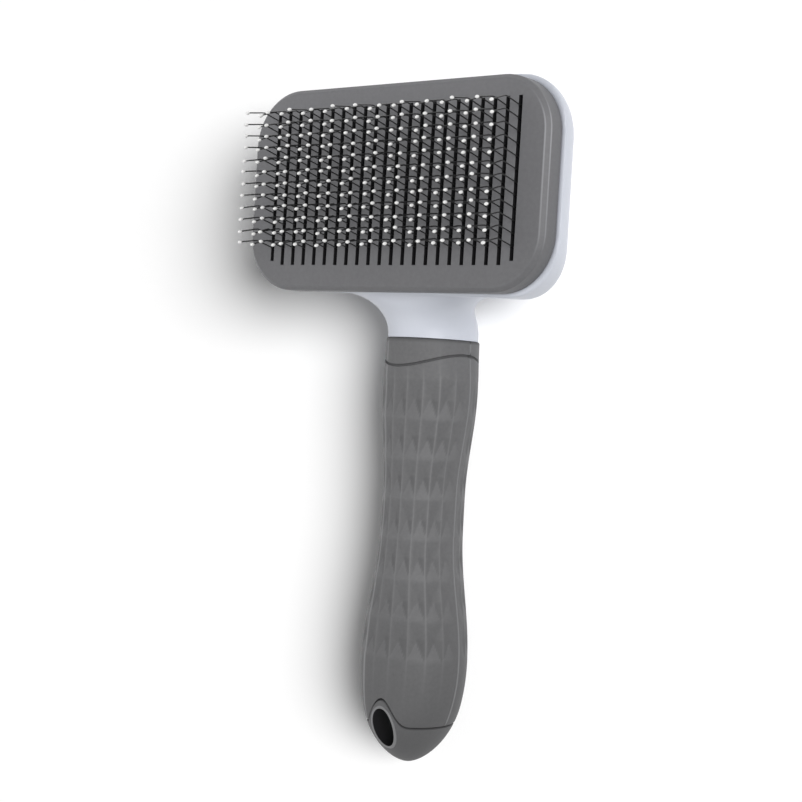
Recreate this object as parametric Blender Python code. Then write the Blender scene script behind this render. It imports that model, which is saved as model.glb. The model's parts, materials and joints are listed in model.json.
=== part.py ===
"""Self-cleaning slicker brush, in metres, lying on its back: pins up along +Z, head towards +Y.

A slotted face plate slides along rows of bent steel pins. A push button on the back lifts it through a
carrier, which takes the hair off the pins, and two coil springs press it back onto the shell.
The origin is under the middle of the brush, on the surface that it lies on.
"""
import math

import bmesh
import bpy

MM = 0.001

# Fits between pieces
GAP = 0.3 * MM  # between faces that seat on each other
SLIDE = 0.5 * MM  # round a piece that slides in another

# Slots of the face plate
SLOT_COUNT = 22
SLOT_PITCH = 4.2 * MM
SLOT_WIDTH = 1.2 * MM
SLOT_END_MARGIN = 7.0 * MM  # end of a slot to the edge of the cap
OUTER_SLOT_SHORTER = 1.2 * MM  # at its lower end
SLOT_RISE = 0.5 * MM  # middle of the slots above the middle of the head

# Face plate
PLATE = 2.0 * MM
CAP_SIDE_MARGIN = 9.9 * MM  # last slot to the side of the cap
CAP_HALF_HEIGHT = 30.2 * MM
CAP_CORNER = 16.5 * MM
CAP_EDGE = 1.3 * MM  # chamfer round the face
CAP_DEPTH = 6.4 * MM
CAP_WALL = 1.6 * MM
POST_RADIUS = 1.9 * MM
POST_SPREAD = 9.0 * MM  # post to the middle line across the head

# Pins, each a bent wire with a ball on its tip
PIN_COUNT = 12
PIN_END_MARGIN = 3.95 * MM  # last pin to the end of its slot
PIN_RISE = 1.2 * MM  # middle of the pins above the middle of the slots
WIRE_RADIUS = 0.28 * MM
BALL_RADIUS = 0.65 * MM
LONG_PIN = 15.5 * MM  # above the face plate
SHORT_PIN = 14.2 * MM
KNEE_HEIGHT = 7.0 * MM
KNEE_LEAN = 1.5 * MM
SHORT_TIP_DROP = 0.6 * MM  # short tips towards the handle, past their feet
BAR_WIDTH = 2.0 * MM
BAR_HEIGHT = 2.0 * MM
BAR_MARGIN = 1.7 * MM  # last pin to the end of its bar
BAR_DROP = 1.0 * MM  # below the underside of the plate

# Pin base
BASE_RIM = 0.4 * MM  # outside the last groove
BASE_FLOOR = 1.4 * MM  # under the grooves
BASE_LEDGE = 0.4 * MM  # top of the bars above the top of the base
BASE_CORNER = 11.0 * MM
BASE_SCREW_X = 24.0 * MM

# Ejector
TRAVEL = 8.0 * MM
CARRIER = 1.8 * MM
CARRIER_HALF_HEIGHT = 12.5 * MM
CARRIER_WALL = 1.6 * MM
LUG = 2.0 * MM
LUG_RISE = 7.0 * MM  # top of the lugs above the carrier's plate
CUP_FLOOR = 1.4 * MM
WELL_X = 36.0 * MM
WELL_DEPTH = 5.3 * MM
WELL_WALL = 1.0 * MM
SPRING_RADIUS = 2.6 * MM  # to the middle of the wire
SPRING_WIRE = 0.4 * MM
SPRING_TURNS = 6

# Push button
BUTTON_HALF_LENGTH = 27.0 * MM
BUTTON_HALF_HEIGHT = 12.0 * MM
BUTTON_EDGE = 4.0 * MM
BUTTON_WALL = 1.8 * MM
BUTTON_BOSS_X = 14.0 * MM
BOSS_RADIUS = 3.0 * MM

# Back shell
SHELL_LIP = 1.0 * MM  # outside the cap
SHELL_CORNER = 14.0 * MM  # squarer than the cap's
SHELL_WALL = 1.8 * MM
RIM = 0.7 * MM
DOME_EDGE_RADIUS = 12.0 * MM
DOME_TURN = math.radians(50)
DOME_SLOPE = 8.0 * MM
DOME_CROWN_RADIUS = 20.0 * MM
DOME_LEAST_CORNER = 6.0 * MM
DOME_DROP = 4.5 * MM  # middle of the back nearer the handle than the middle of the rim

# Neck
NECK_LENGTH = 11.7 * MM
NECK_FLARE = 18.0 * MM  # of its front, to each side
NECK_SIDE_FLARE = 8.0 * MM  # of its sides, close to the head
NECK_SIDE_LENGTH = 5.0 * MM
NECK_FLARE_SHARE = 0.98  # of a quarter turn, short of running level
NECK_STEP = 0.4 * MM  # grip proud of the neck
NECK_REACH = 20.0 * MM  # into the head
NECK_BACK = 5.0 * MM  # end of the neck's back in front of the handle's middle

# Handle: half widths across, half depths front to back, and their places below the collar's top
HANDLE_LENGTH = 126.9 * MM
FACE_AHEAD = 25.5 * MM  # face plate in front of the handle's middle
COLLAR_HALF_WIDTH = 13.8 * MM
COLLAR_HALF_DEPTH = 14.3 * MM
SHOULDER_HALF_WIDTH = 14.7 * MM
SHOULDER_HALF_DEPTH = 13.6 * MM
SHOULDER_BELOW = 15.4 * MM
WAIST_HALF_WIDTH = 11.9 * MM
WAIST_HALF_DEPTH = 13.1 * MM
WAIST_BELOW = 46.0 * MM
WAIST_LENGTH = 12.0 * MM
BULGE_HALF_WIDTH = 16.5 * MM
BULGE_HALF_DEPTH = 15.0 * MM
TAIL_LENGTH = 30.5 * MM  # widest place to the tail
TAIL_ROUNDING = 18.0 * MM  # length over which the depth rounds off
TAIL_POWER = 0.6  # 0.5 for an elliptical tail, more for a pointed one
GRIP_WALL = 3.0 * MM

# Grip surface
DIMPLE_COLUMNS = 16
DIMPLE_ROWS = 7
DIMPLE_DEPTH = 0.6 * MM
DIMPLE_BELOW = 12.1 * MM  # first row below the collar's top
WAVE_BELOW = 6.35 * MM  # middle of the wave below the collar's top
WAVE_HEIGHT = 1.95 * MM
GROOVE = 0.5 * MM
CAP_LINE_ABOVE = 12.4 * MM  # end cap's top at the sides, above the tail
CAP_LINE_ARCH = 7.8 * MM
CAP_LINE_POWER = 4  # narrowness of the arch

# Hanging hole
HOLE_HALF_WIDTH = 4.1 * MM
HOLE_HALF_LENGTH = 6.2 * MM
HOLE_ABOVE = 11.6 * MM  # middle above the tail

# Screws
SCREW_SHAFT = 0.9 * MM
SCREW_HEAD = 1.6 * MM
SCREW_HEAD_HEIGHT = 1.2 * MM
SCREW_LENGTH = 6.0 * MM
SCREW_CROWN = 0.5 * MM  # rounding of the head
SCREW_POINT = 0.3 * MM

# Facets
CORNER_STEPS = 6
SPRING_STEPS = 8
PIN_SIDES = 3
EDGE_STEPS = 3
ROUND_STEPS = 12
NECK_STEPS = 6
CORE_STEPS = 12
CAP_STEPS = 7
GRIP_COLUMNS = 2 * DIMPLE_COLUMNS
SMOOTH_ANGLE = math.radians(30)

# Places that follow from the sizes
SLOTS_HALF_WIDTH = (SLOT_COUNT - 1) * SLOT_PITCH / 2
CAP_HALF_WIDTH = SLOTS_HALF_WIDTH + CAP_SIDE_MARGIN
SLOT_LENGTH = 2 * (CAP_HALF_HEIGHT - SLOT_END_MARGIN)
PIN_PITCH = (SLOT_LENGTH - 2 * PIN_END_MARGIN) / (PIN_COUNT - 1)
HALF_LENGTH = (HANDLE_LENGTH + NECK_LENGTH + 2 * (CAP_HALF_HEIGHT + SHELL_LIP)) / 2
HEAD_Y = HALF_LENGTH - CAP_HALF_HEIGHT - SHELL_LIP
SLOTS_Y = HEAD_Y + SLOT_RISE
PINS_Y = SLOTS_Y + PIN_RISE
TAIL_Y = -HALF_LENGTH
COLLAR_Y = TAIL_Y + HANDLE_LENGTH
BULGE_Y = TAIL_Y + TAIL_LENGTH
AXIS_Z = BULGE_HALF_DEPTH
FACE_Z = AXIS_Z + FACE_AHEAD
PLATE_Z = FACE_Z - PLATE
RIM_Z = FACE_Z - CAP_DEPTH - GAP
BAR_Z = PLATE_Z - BAR_DROP
BASE_Z = BAR_Z - BASE_LEDGE
GROOVE_Z = BAR_Z - BAR_HEIGHT - GAP
BASE_UNDER_Z = GROOVE_Z - BASE_FLOOR
BASE_HALF_WIDTH = SLOTS_HALF_WIDTH + BAR_WIDTH / 2 + GAP + BASE_RIM
BASE_HALF_HEIGHT = CAP_HALF_HEIGHT - CAP_WALL - 2 * SLIDE
CARRIER_Z = BASE_UNDER_Z - TRAVEL - SLIDE
CARRIER_REACH = BASE_HALF_WIDTH + SLIDE
POST_X = CARRIER_REACH + CARRIER_WALL + GAP + SCREW_HEAD
LUG_Z = CARRIER_Z + LUG_RISE
CUP_Z = CARRIER_Z - SCREW_HEAD_HEIGHT - 2 * GAP
CUP_UNDER_Z = CUP_Z - CUP_FLOOR
BUTTON_Z = CARRIER_Z - CARRIER - GAP
PILOT = SCREW_SHAFT + GAP
BAR_HALF_LENGTH = (PIN_COUNT - 1) * PIN_PITCH / 2 + BAR_MARGIN
BASE_SCREW_SEAT_Z = BASE_Z - SCREW_HEAD_HEIGHT - GAP
NECK_HALF_WIDTH = COLLAR_HALF_WIDTH - NECK_STEP
NECK_HALF_DEPTH = COLLAR_HALF_DEPTH - NECK_STEP
NECK_FLARE_LENGTH = NECK_LENGTH + SHELL_LIP
CORE_TOP_Y = COLLAR_Y + GAP
CAP_ARCH_Y = TAIL_Y + CAP_LINE_ABOVE + CAP_LINE_ARCH
CORE_END_Y = CAP_ARCH_Y + GRIP_WALL
CAP_JOINT_Y = TAIL_Y + CAP_LINE_ABOVE + CAP_LINE_ARCH / 2


def finish(name, colour, roughness, metallic=0.0):
    """A plain finish of one colour."""
    material = bpy.data.materials.new(name)
    material.use_nodes = True
    shader = material.node_tree.nodes["Principled BSDF"]
    shader.inputs["Base Color"].default_value = (*colour, 1.0)
    shader.inputs["Roughness"].default_value = roughness
    shader.inputs["Metallic"].default_value = metallic
    return material


def add_object(name, mesh, material, place=(0, 0, 0)):
    """One named piece of the brush."""
    piece = bpy.data.objects.new(name, mesh)
    piece.location = place
    bpy.context.scene.collection.objects.link(piece)
    if not mesh.materials:
        mesh.materials.append(material)
    return piece


def close_mesh(name, bm):
    """Turns the faces out, shades the round ones smooth and makes a mesh."""
    bmesh.ops.recalc_face_normals(bm, faces=bm.faces)
    mesh = bpy.data.meshes.new(name)
    bm.to_mesh(mesh)
    bm.free()
    mesh.shade_smooth()
    mesh.set_sharp_from_angle(angle=SMOOTH_ANGLE)
    return mesh


def skin(bm, rings, start=None, end=None, checker=False):
    """Skins closed rings of equal count. An end is a flat face, or a fan to its point."""
    loops = [[bm.verts.new(point) for point in ring] for ring in rings]
    count = len(rings[0])
    for row, (lower, upper) in enumerate(zip(loops, loops[1:])):
        for i in range(count):
            j = (i + 1) % count
            if not checker:
                bm.faces.new((lower[i], lower[j], upper[j], upper[i]))
            elif (row + i) % 2 == 0:
                bm.faces.new((lower[i], lower[j], upper[j]))
                bm.faces.new((lower[i], upper[j], upper[i]))
            else:
                bm.faces.new((lower[i], lower[j], upper[i]))
                bm.faces.new((lower[j], upper[j], upper[i]))
    for loop, point in ((loops[0], start), (loops[-1], end)):
        if point is None:
            bm.faces.new(loop)
            continue
        tip = bm.verts.new(point)
        for i in range(count):
            bm.faces.new((loop[i], loop[(i + 1) % count], tip))


def loft(name, rings, **ends):
    """A closed body through rings."""
    bm = bmesh.new()
    skin(bm, rings, **ends)
    return close_mesh(name, bm)


def add_box(bm, x, y, z):
    """A box between two corners, given as one pair for each axis."""
    corners = bmesh.ops.create_cube(bm, size=1.0)["verts"]
    sizes = [high - low for low, high in (x, y, z)]
    bmesh.ops.scale(bm, vec=sizes, verts=corners)
    bmesh.ops.translate(bm, vec=[(low + high) / 2 for low, high in (x, y, z)], verts=corners)


def add_rod(bm, x, y, low, high, radius):
    """An upright round rod."""
    rod = bmesh.ops.create_cone(
        bm, cap_ends=True, segments=ROUND_STEPS, radius1=radius, radius2=radius, depth=high - low)
    bmesh.ops.translate(bm, vec=(x, y, (low + high) / 2), verts=rod["verts"])


def tool(name, mesh):
    """A cutter or an added shape, which isn't a piece itself."""
    shape = bpy.data.objects.new(name, mesh)
    bpy.context.scene.collection.objects.link(shape)
    shape.hide_render = True
    shape.display_type = "WIRE"
    return shape


def join(piece, shape, operation):
    """Cuts a shape out of a piece, or unites them."""
    boolean = piece.modifiers.new(shape.name, "BOOLEAN")
    boolean.operation = operation
    boolean.object = shape
    boolean.solver = "EXACT"


def rounded_ring(half_x, half_y, radius, z, drop=0.0):
    """A rectangle with round corners, about the middle of the head or a drop nearer the handle."""
    points = []
    for quarter, (side_x, side_y) in enumerate(((1, 1), (-1, 1), (-1, -1), (1, -1))):
        for step in range(CORNER_STEPS + 1):
            turn = math.pi / 2 * (quarter + step / CORNER_STEPS)
            x = side_x * (half_x - radius) + radius * math.cos(turn)
            y = side_y * (half_y - radius) + radius * math.sin(turn)
            points.append((x, HEAD_Y - drop + y, z))
    return points


def ease(share):
    """Runs from 0 to 1 with level ends."""
    return (1 - math.cos(math.pi * min(max(share, 0.0), 1.0))) / 2


def handle_half_width(y):
    """Half the grip's width at a place along the handle."""
    below = COLLAR_Y - y
    waist_end = WAIST_BELOW + WAIST_LENGTH
    if below < SHOULDER_BELOW:
        return COLLAR_HALF_WIDTH + (SHOULDER_HALF_WIDTH - COLLAR_HALF_WIDTH) * ease(below / SHOULDER_BELOW)
    if below < waist_end:
        share = (below - SHOULDER_BELOW) / (WAIST_BELOW - SHOULDER_BELOW)
        return SHOULDER_HALF_WIDTH + (WAIST_HALF_WIDTH - SHOULDER_HALF_WIDTH) * ease(share)
    if y > BULGE_Y:
        share = (below - waist_end) / (COLLAR_Y - BULGE_Y - waist_end)
        return WAIST_HALF_WIDTH + (BULGE_HALF_WIDTH - WAIST_HALF_WIDTH) * ease(share)
    return BULGE_HALF_WIDTH * max(0.0, 1 - ((BULGE_Y - y) / TAIL_LENGTH) ** 2) ** TAIL_POWER


def handle_half_depth(y):
    """Half the grip's depth at a place along the handle."""
    below = COLLAR_Y - y
    rounding_y = TAIL_Y + TAIL_ROUNDING
    if below < SHOULDER_BELOW:
        return COLLAR_HALF_DEPTH + (SHOULDER_HALF_DEPTH - COLLAR_HALF_DEPTH) * ease(below / SHOULDER_BELOW)
    if below < WAIST_BELOW:
        share = (below - SHOULDER_BELOW) / (WAIST_BELOW - SHOULDER_BELOW)
        return SHOULDER_HALF_DEPTH + (WAIST_HALF_DEPTH - SHOULDER_HALF_DEPTH) * ease(share)
    if y > BULGE_Y:
        share = (below - WAIST_BELOW) / (COLLAR_Y - BULGE_Y - WAIST_BELOW)
        return WAIST_HALF_DEPTH + (BULGE_HALF_DEPTH - WAIST_HALF_DEPTH) * ease(share)
    return BULGE_HALF_DEPTH * max(0.0, 1 - (max(rounding_y - y, 0.0) / TAIL_ROUNDING) ** 2) ** TAIL_POWER


def handle_ring(place, inset):
    """A ring round the handle. The place along it and the inset may depend on the column."""
    points = []
    for column in range(GRIP_COLUMNS):
        turn = 2 * math.pi * column / GRIP_COLUMNS
        y = place(turn)
        depth = inset(column)
        x = (handle_half_width(y) - depth) * math.cos(turn)
        z = AXIS_Z + (handle_half_depth(y) - depth) * math.sin(turn)
        points.append((x, y, z))
    return points


def dome_profile(wall):
    """Inset and depth along the shell's wall, from its rim to the middle of its back."""
    edge = DOME_EDGE_RADIUS - wall
    crown = DOME_CROWN_RADIUS - wall
    profile = [(wall, 0.0)]
    for step in range(EDGE_STEPS + 2):
        turn = DOME_TURN * step / (EDGE_STEPS + 1)
        profile.append((wall + edge * (1 - math.cos(turn)), RIM + edge * math.sin(turn)))
    inset, depth = profile[-1]
    inset += DOME_SLOPE * math.sin(DOME_TURN)
    depth += DOME_SLOPE * math.cos(DOME_TURN)
    for step in range(EDGE_STEPS + 1):
        turn = DOME_TURN + (math.pi / 2 - DOME_TURN) * step / EDGE_STEPS
        across = crown * (math.cos(DOME_TURN) - math.cos(turn))
        down = crown * (math.sin(turn) - math.sin(DOME_TURN))
        profile.append((inset + across, depth + down))
    return profile


def dome_rings(wall):
    """Rings of the shell's outside, or of its hollow for a wall. The lower side runs straight back first."""
    corner = CAP_CORNER + SHELL_LIP if wall else SHELL_CORNER  # the hollow follows the cap, which covers it
    rings = []
    for inset, depth in dome_profile(wall):
        half_x = CAP_HALF_WIDTH + SHELL_LIP - inset
        half_y = CAP_HALF_HEIGHT + SHELL_LIP - inset
        radius = min(max(corner - inset, DOME_LEAST_CORNER), half_y - GAP)
        drop = DOME_DROP * math.sin(min((inset - wall) / DOME_DROP, math.pi / 2))
        rings.append(rounded_ring(half_x, half_y, radius, RIM_Z - depth, drop))
    return rings


def base_screw_places():
    """The pin base's screws, above and below the pin bars."""
    top = (BASE_HALF_HEIGHT + PINS_Y - HEAD_Y + BAR_HALF_LENGTH) / 2
    bottom = (BASE_HALF_HEIGHT + BAR_HALF_LENGTH - PINS_Y + HEAD_Y) / 2
    return [(x, HEAD_Y + y) for y in (top, -bottom) for x in (-BASE_SCREW_X, BASE_SCREW_X)]


def post_places():
    """The four posts of the face plate."""
    return [(x, HEAD_Y + y) for y in (POST_SPREAD, -POST_SPREAD) for x in (-POST_X, POST_X)]


def row_x(row):
    """Middle of a slot and of its row of pins."""
    return (row - (SLOT_COUNT - 1) / 2) * SLOT_PITCH


def round_out(share):
    """A quarter circle's way out, from 0 at its start towards 1."""
    return 1 - math.sqrt(1 - min(max(share, 0.0), NECK_FLARE_SHARE) ** 2)


def neck_ring(y):
    """A ring of the neck, which flares on its way into the head, most of all along its front."""
    along = y - CORE_TOP_Y
    into_head = ease(along / (NECK_LENGTH + NECK_REACH))
    to_head = ease(along / NECK_LENGTH) ** 2
    front = NECK_HALF_DEPTH + (RIM_Z - RIM - AXIS_Z - NECK_HALF_DEPTH) * to_head
    back = NECK_HALF_DEPTH - (NECK_HALF_DEPTH + NECK_BACK) * into_head
    front_flare = NECK_FLARE * round_out(along / NECK_FLARE_LENGTH)
    side_flare = NECK_SIDE_FLARE * round_out(1 + (along - NECK_FLARE_LENGTH) / NECK_SIDE_LENGTH)
    points = []
    for column in range(GRIP_COLUMNS):
        turn = 2 * math.pi * column / GRIP_COLUMNS
        up = math.sin(turn)
        half_width = NECK_HALF_WIDTH + side_flare + front_flare * ((1 + up) / 2) ** 2
        z = AXIS_Z + (front - back) / 2 + (front + back) / 2 * up
        points.append((half_width * math.cos(turn), y, z))
    return points


def core_rings(low, high, inset):
    """Rings inside the grip, from the collar down."""
    rings = []
    for step in range(CORE_STEPS + 1):
        y = high + (low - high) * step / CORE_STEPS
        rings.append(handle_ring(lambda turn: y, lambda column: inset))
    return rings


def neck_rings():
    """Rings from inside the head, down the flared neck and the core in the handle."""
    rings = [neck_ring(COLLAR_Y + NECK_LENGTH + NECK_REACH)]
    for step in range(NECK_STEPS, -1, -1):
        rings.append(neck_ring(CORE_TOP_Y + NECK_LENGTH * math.sin(math.pi / 2 * step / NECK_STEPS)))
    return rings + core_rings(CORE_END_Y, CORE_TOP_Y, GRIP_WALL + GAP)


def make_back_shell(material):
    """Tray of the head with its screw bosses, neck and handle core, in one moulding."""
    shell = add_object("back_shell", loft("back_shell", dome_rings(0.0)), material)
    join(shell, tool("neck_and_core", loft("neck_and_core", neck_rings())), "UNION")
    hollow_rings = dome_rings(SHELL_WALL)
    above = [(x, y, z + CAP_DEPTH) for x, y, z in hollow_rings[0]]
    hollow = tool("hollow", loft("hollow", [above] + hollow_rings))
    bosses = bmesh.new()
    holes = bmesh.new()
    boss_top = BASE_UNDER_Z - GAP
    for x, y in base_screw_places():
        add_rod(bosses, x, y, 0.0, boss_top, BOSS_RADIUS)
        add_rod(holes, x, y, BASE_SCREW_SEAT_Z - SCREW_LENGTH - GAP, FACE_Z, PILOT)
    join(hollow, tool("bosses", close_mesh("bosses", bosses)), "DIFFERENCE")
    join(shell, hollow, "DIFFERENCE")
    window_x = BUTTON_HALF_LENGTH + SLIDE
    window_y = BUTTON_HALF_HEIGHT + SLIDE
    window = [rounded_ring(window_x, window_y, window_y - GAP, z) for z in (-GAP, CARRIER_Z)]
    join(shell, tool("window", loft("window", window)), "DIFFERENCE")
    join(shell, tool("boss_holes", close_mesh("boss_holes", holes)), "DIFFERENCE")
    return shell


def make_face_plate(material):
    """Slotted plate with a chamfered edge, a skirt and four posts."""
    inner_x = CAP_HALF_WIDTH - CAP_WALL
    inner_y = CAP_HALF_HEIGHT - CAP_WALL
    skirt_z = FACE_Z - CAP_DEPTH
    rings = [rounded_ring(inner_x, inner_y, CAP_CORNER - CAP_WALL, z) for z in (PLATE_Z, skirt_z)]
    for inset, z in ((0.0, skirt_z), (0.0, FACE_Z - CAP_EDGE), (CAP_EDGE, FACE_Z)):
        rings.append(rounded_ring(CAP_HALF_WIDTH - inset, CAP_HALF_HEIGHT - inset, CAP_CORNER - inset, z))
    plate = add_object("face_plate", loft("face_plate", rings), material)
    slots = bmesh.new()
    for row in range(SLOT_COUNT):
        outer = row in (0, SLOT_COUNT - 1)
        low_y = SLOTS_Y - SLOT_LENGTH / 2 + (OUTER_SLOT_SHORTER if outer else 0.0)
        x = row_x(row)
        add_box(slots, (x - SLOT_WIDTH / 2, x + SLOT_WIDTH / 2), (low_y, SLOTS_Y + SLOT_LENGTH / 2),
                (PLATE_Z - PLATE, FACE_Z + PLATE))
    join(plate, tool("slots", close_mesh("slots", slots)), "DIFFERENCE")
    posts = bmesh.new()
    holes = bmesh.new()
    for x, y in post_places():
        add_rod(posts, x, y, LUG_Z + GAP, PLATE_Z + PLATE / 2, POST_RADIUS)
        add_rod(holes, x, y, LUG_Z - LUG, LUG_Z - LUG + SCREW_LENGTH + GAP, PILOT)
    join(plate, tool("posts", close_mesh("posts", posts)), "UNION")
    join(plate, tool("post_holes", close_mesh("post_holes", holes)), "DIFFERENCE")
    return plate


def pin_rings(y, height, tip_drop):
    """Rings up one pin: out of its bar, past the knee and over the ball."""
    neck_z = FACE_Z + height - 2 * BALL_RADIUS
    knee_z = FACE_Z + KNEE_HEIGHT
    foot_z = BAR_Z - BAR_HEIGHT / 2
    foot_y = y - KNEE_LEAN * (FACE_Z - foot_z) / KNEE_HEIGHT
    tip_y = y - tip_drop
    ball_z = FACE_Z + height - BALL_RADIUS
    places = (
        (foot_y, foot_z, WIRE_RADIUS), (y + KNEE_LEAN, knee_z, WIRE_RADIUS),
        (tip_y, neck_z, WIRE_RADIUS), (tip_y, ball_z, BALL_RADIUS))
    rings = []
    for ring_y, z, radius in places:
        corners = [math.pi / 2 + 2 * math.pi * side / PIN_SIDES for side in range(PIN_SIDES)]
        rings.append([(radius * math.cos(a), ring_y + radius * math.sin(a), z) for a in corners])
    return rings, (0.0, tip_y, FACE_Z + height)


def pin_row_mesh(name, height, tip_drop):
    """One bar with its pins, about its own middle line."""
    bar = bmesh.new()
    add_box(bar, (-BAR_WIDTH / 2, BAR_WIDTH / 2), (PINS_Y - BAR_HALF_LENGTH, PINS_Y + BAR_HALF_LENGTH),
            (BAR_Z - BAR_HEIGHT, BAR_Z))
    pins = bmesh.new()
    for pin in range(PIN_COUNT):
        rings, tip = pin_rings(PINS_Y + (pin - (PIN_COUNT - 1) / 2) * PIN_PITCH, height, tip_drop)
        skin(pins, rings, end=tip)
    solid = tool(name + "_bar", close_mesh(name + "_bar", bar))
    join(solid, tool(name + "_pins", close_mesh(name + "_pins", pins)), "UNION")
    graph = bpy.context.evaluated_depsgraph_get()
    mesh = bpy.data.meshes.new_from_object(solid.evaluated_get(graph))
    mesh.name = name
    return mesh


def make_pin_rows(material):
    """Rows of long and short pins by turns."""
    kinds = [
        pin_row_mesh("long_row", LONG_PIN, 0.0), pin_row_mesh("short_row", SHORT_PIN, SHORT_TIP_DROP)]
    for row in range(SLOT_COUNT):
        add_object(f"pin_row_{row + 1:02d}", kinds[row % 2], material, (row_x(row), 0.0, 0.0))


def make_pin_base(material):
    """Plate with a groove for each pin bar, screwed to the shell's bosses."""
    rings = [rounded_ring(BASE_HALF_WIDTH, BASE_HALF_HEIGHT, BASE_CORNER, z) for z in (BASE_UNDER_Z, BASE_Z)]
    base = add_object("pin_base", loft("pin_base", rings), material)
    grooves = bmesh.new()
    for row in range(SLOT_COUNT):
        half_x = BAR_WIDTH / 2 + GAP
        half_y = BAR_HALF_LENGTH + GAP
        add_box(grooves, (row_x(row) - half_x, row_x(row) + half_x), (PINS_Y - half_y, PINS_Y + half_y),
                (GROOVE_Z, BASE_Z + BASE_FLOOR))
    join(base, tool("grooves", close_mesh("grooves", grooves)), "DIFFERENCE")
    holes = bmesh.new()
    seats = bmesh.new()
    for x, y in base_screw_places():
        add_rod(holes, x, y, BASE_UNDER_Z - BASE_FLOOR, BASE_Z + BASE_FLOOR, PILOT)
        add_rod(seats, x, y, BASE_SCREW_SEAT_Z - GAP, BASE_Z + BASE_FLOOR, SCREW_HEAD + GAP)
    join(base, tool("base_holes", close_mesh("base_holes", holes)), "DIFFERENCE")
    join(base, tool("base_seats", close_mesh("base_seats", seats)), "DIFFERENCE")
    return base


def make_carrier(material):
    """Bridge from post to post under the pin base, with a well for each spring."""
    reach = CARRIER_REACH
    height = (HEAD_Y - CARRIER_HALF_HEIGHT, HEAD_Y + CARRIER_HALF_HEIGHT)
    plate = bmesh.new()
    add_box(plate, (-reach - GAP, reach + GAP), height, (CARRIER_Z - CARRIER, CARRIER_Z))
    carrier = add_object("carrier", close_mesh("carrier", plate), material)
    ends = bmesh.new()
    lugs = bmesh.new()
    wells = bmesh.new()
    bores = bmesh.new()
    holes = bmesh.new()
    well_radius = SPRING_RADIUS + SPRING_WIRE + 2 * GAP
    for side in (-1, 1):
        wall = sorted((side * reach, side * (reach + CARRIER_WALL)))
        add_box(ends, wall, height, (CARRIER_Z - CARRIER / 2, LUG_Z - LUG / 2))
        lug = sorted((side * reach, side * (POST_X + POST_RADIUS)))
        add_box(lugs, lug, height, (LUG_Z - LUG, LUG_Z))
        floor_z = CARRIER_Z - WELL_DEPTH
        add_rod(wells, side * WELL_X, HEAD_Y, floor_z - WELL_WALL, CARRIER_Z - GAP, well_radius + WELL_WALL)
        add_rod(bores, side * WELL_X, HEAD_Y, floor_z, CARRIER_Z + WELL_WALL, well_radius)
        add_rod(wells, side * BUTTON_BOSS_X, HEAD_Y, CUP_UNDER_Z, CARRIER_Z - GAP, BOSS_RADIUS)
        add_rod(bores, side * BUTTON_BOSS_X, HEAD_Y, CUP_Z, CARRIER_Z + WELL_WALL, SCREW_HEAD + GAP)
        add_rod(holes, side * BUTTON_BOSS_X, HEAD_Y, CUP_UNDER_Z - GAP, CARRIER_Z + WELL_WALL, PILOT)
    for x, y in post_places():
        add_rod(holes, x, y, LUG_Z - LUG - GAP, LUG_Z + GAP, PILOT)
    for name, shape in (("ends", ends), ("lugs", lugs), ("wells", wells)):
        join(carrier, tool(name, close_mesh(name, shape)), "UNION")
    for name, shape in (("bores", bores), ("carrier_holes", holes)):
        join(carrier, tool(name, close_mesh(name, shape)), "DIFFERENCE")
    return carrier


def make_push_button(material):
    """Hollow oval button with a rounded edge and a screw boss at each end."""
    inner_x = BUTTON_HALF_LENGTH - BUTTON_WALL
    inner_y = BUTTON_HALF_HEIGHT - BUTTON_WALL
    rings = [rounded_ring(inner_x, inner_y, inner_y - GAP, z) for z in (BUTTON_EDGE, BUTTON_Z)]
    rings.append(rounded_ring(BUTTON_HALF_LENGTH, BUTTON_HALF_HEIGHT, BUTTON_HALF_HEIGHT - GAP, BUTTON_Z))
    for step in range(EDGE_STEPS + 1):
        turn = math.pi / 2 * step / EDGE_STEPS
        inset = BUTTON_EDGE * (1 - math.cos(turn))
        half_x = BUTTON_HALF_LENGTH - inset
        half_y = BUTTON_HALF_HEIGHT - inset
        rings.append(rounded_ring(half_x, half_y, half_y - GAP, BUTTON_EDGE * (1 - math.sin(turn))))
    button = add_object("push_button", loft("push_button", rings), material)
    bosses = bmesh.new()
    holes = bmesh.new()
    for x in (-BUTTON_BOSS_X, BUTTON_BOSS_X):
        add_rod(bosses, x, HEAD_Y, BUTTON_EDGE / 2, CUP_UNDER_Z - GAP, BOSS_RADIUS)
        add_rod(holes, x, HEAD_Y, CUP_Z - SCREW_LENGTH, CARRIER_Z, PILOT)
    join(button, tool("button_bosses", close_mesh("button_bosses", bosses)), "UNION")
    join(button, tool("button_holes", close_mesh("button_holes", holes)), "DIFFERENCE")
    return button


def make_springs(material):
    """A coil spring in each well, up to the underside of the pin base."""
    low = CARRIER_Z - WELL_DEPTH + GAP + SPRING_WIRE
    high = BASE_UNDER_Z - GAP - SPRING_WIRE
    steps = SPRING_STEPS * SPRING_TURNS
    for name, x in (("return_spring_left", -WELL_X), ("return_spring_right", WELL_X)):
        curve = bpy.data.curves.new(name, "CURVE")
        curve.dimensions = "3D"
        curve.bevel_depth = SPRING_WIRE
        curve.bevel_resolution = 1
        curve.use_fill_caps = True
        curve.materials.append(material)
        coil = curve.splines.new("POLY")
        coil.points.add(steps)
        for step, point in enumerate(coil.points):
            turn = 2 * math.pi * SPRING_TURNS * step / steps
            z = low + (high - low) * step / steps
            point.co = (SPRING_RADIUS * math.cos(turn), SPRING_RADIUS * math.sin(turn), z, 1.0)
        spring = bpy.data.objects.new(name, curve)
        spring.location = (x, HEAD_Y, 0.0)
        bpy.context.scene.collection.objects.link(spring)


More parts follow.
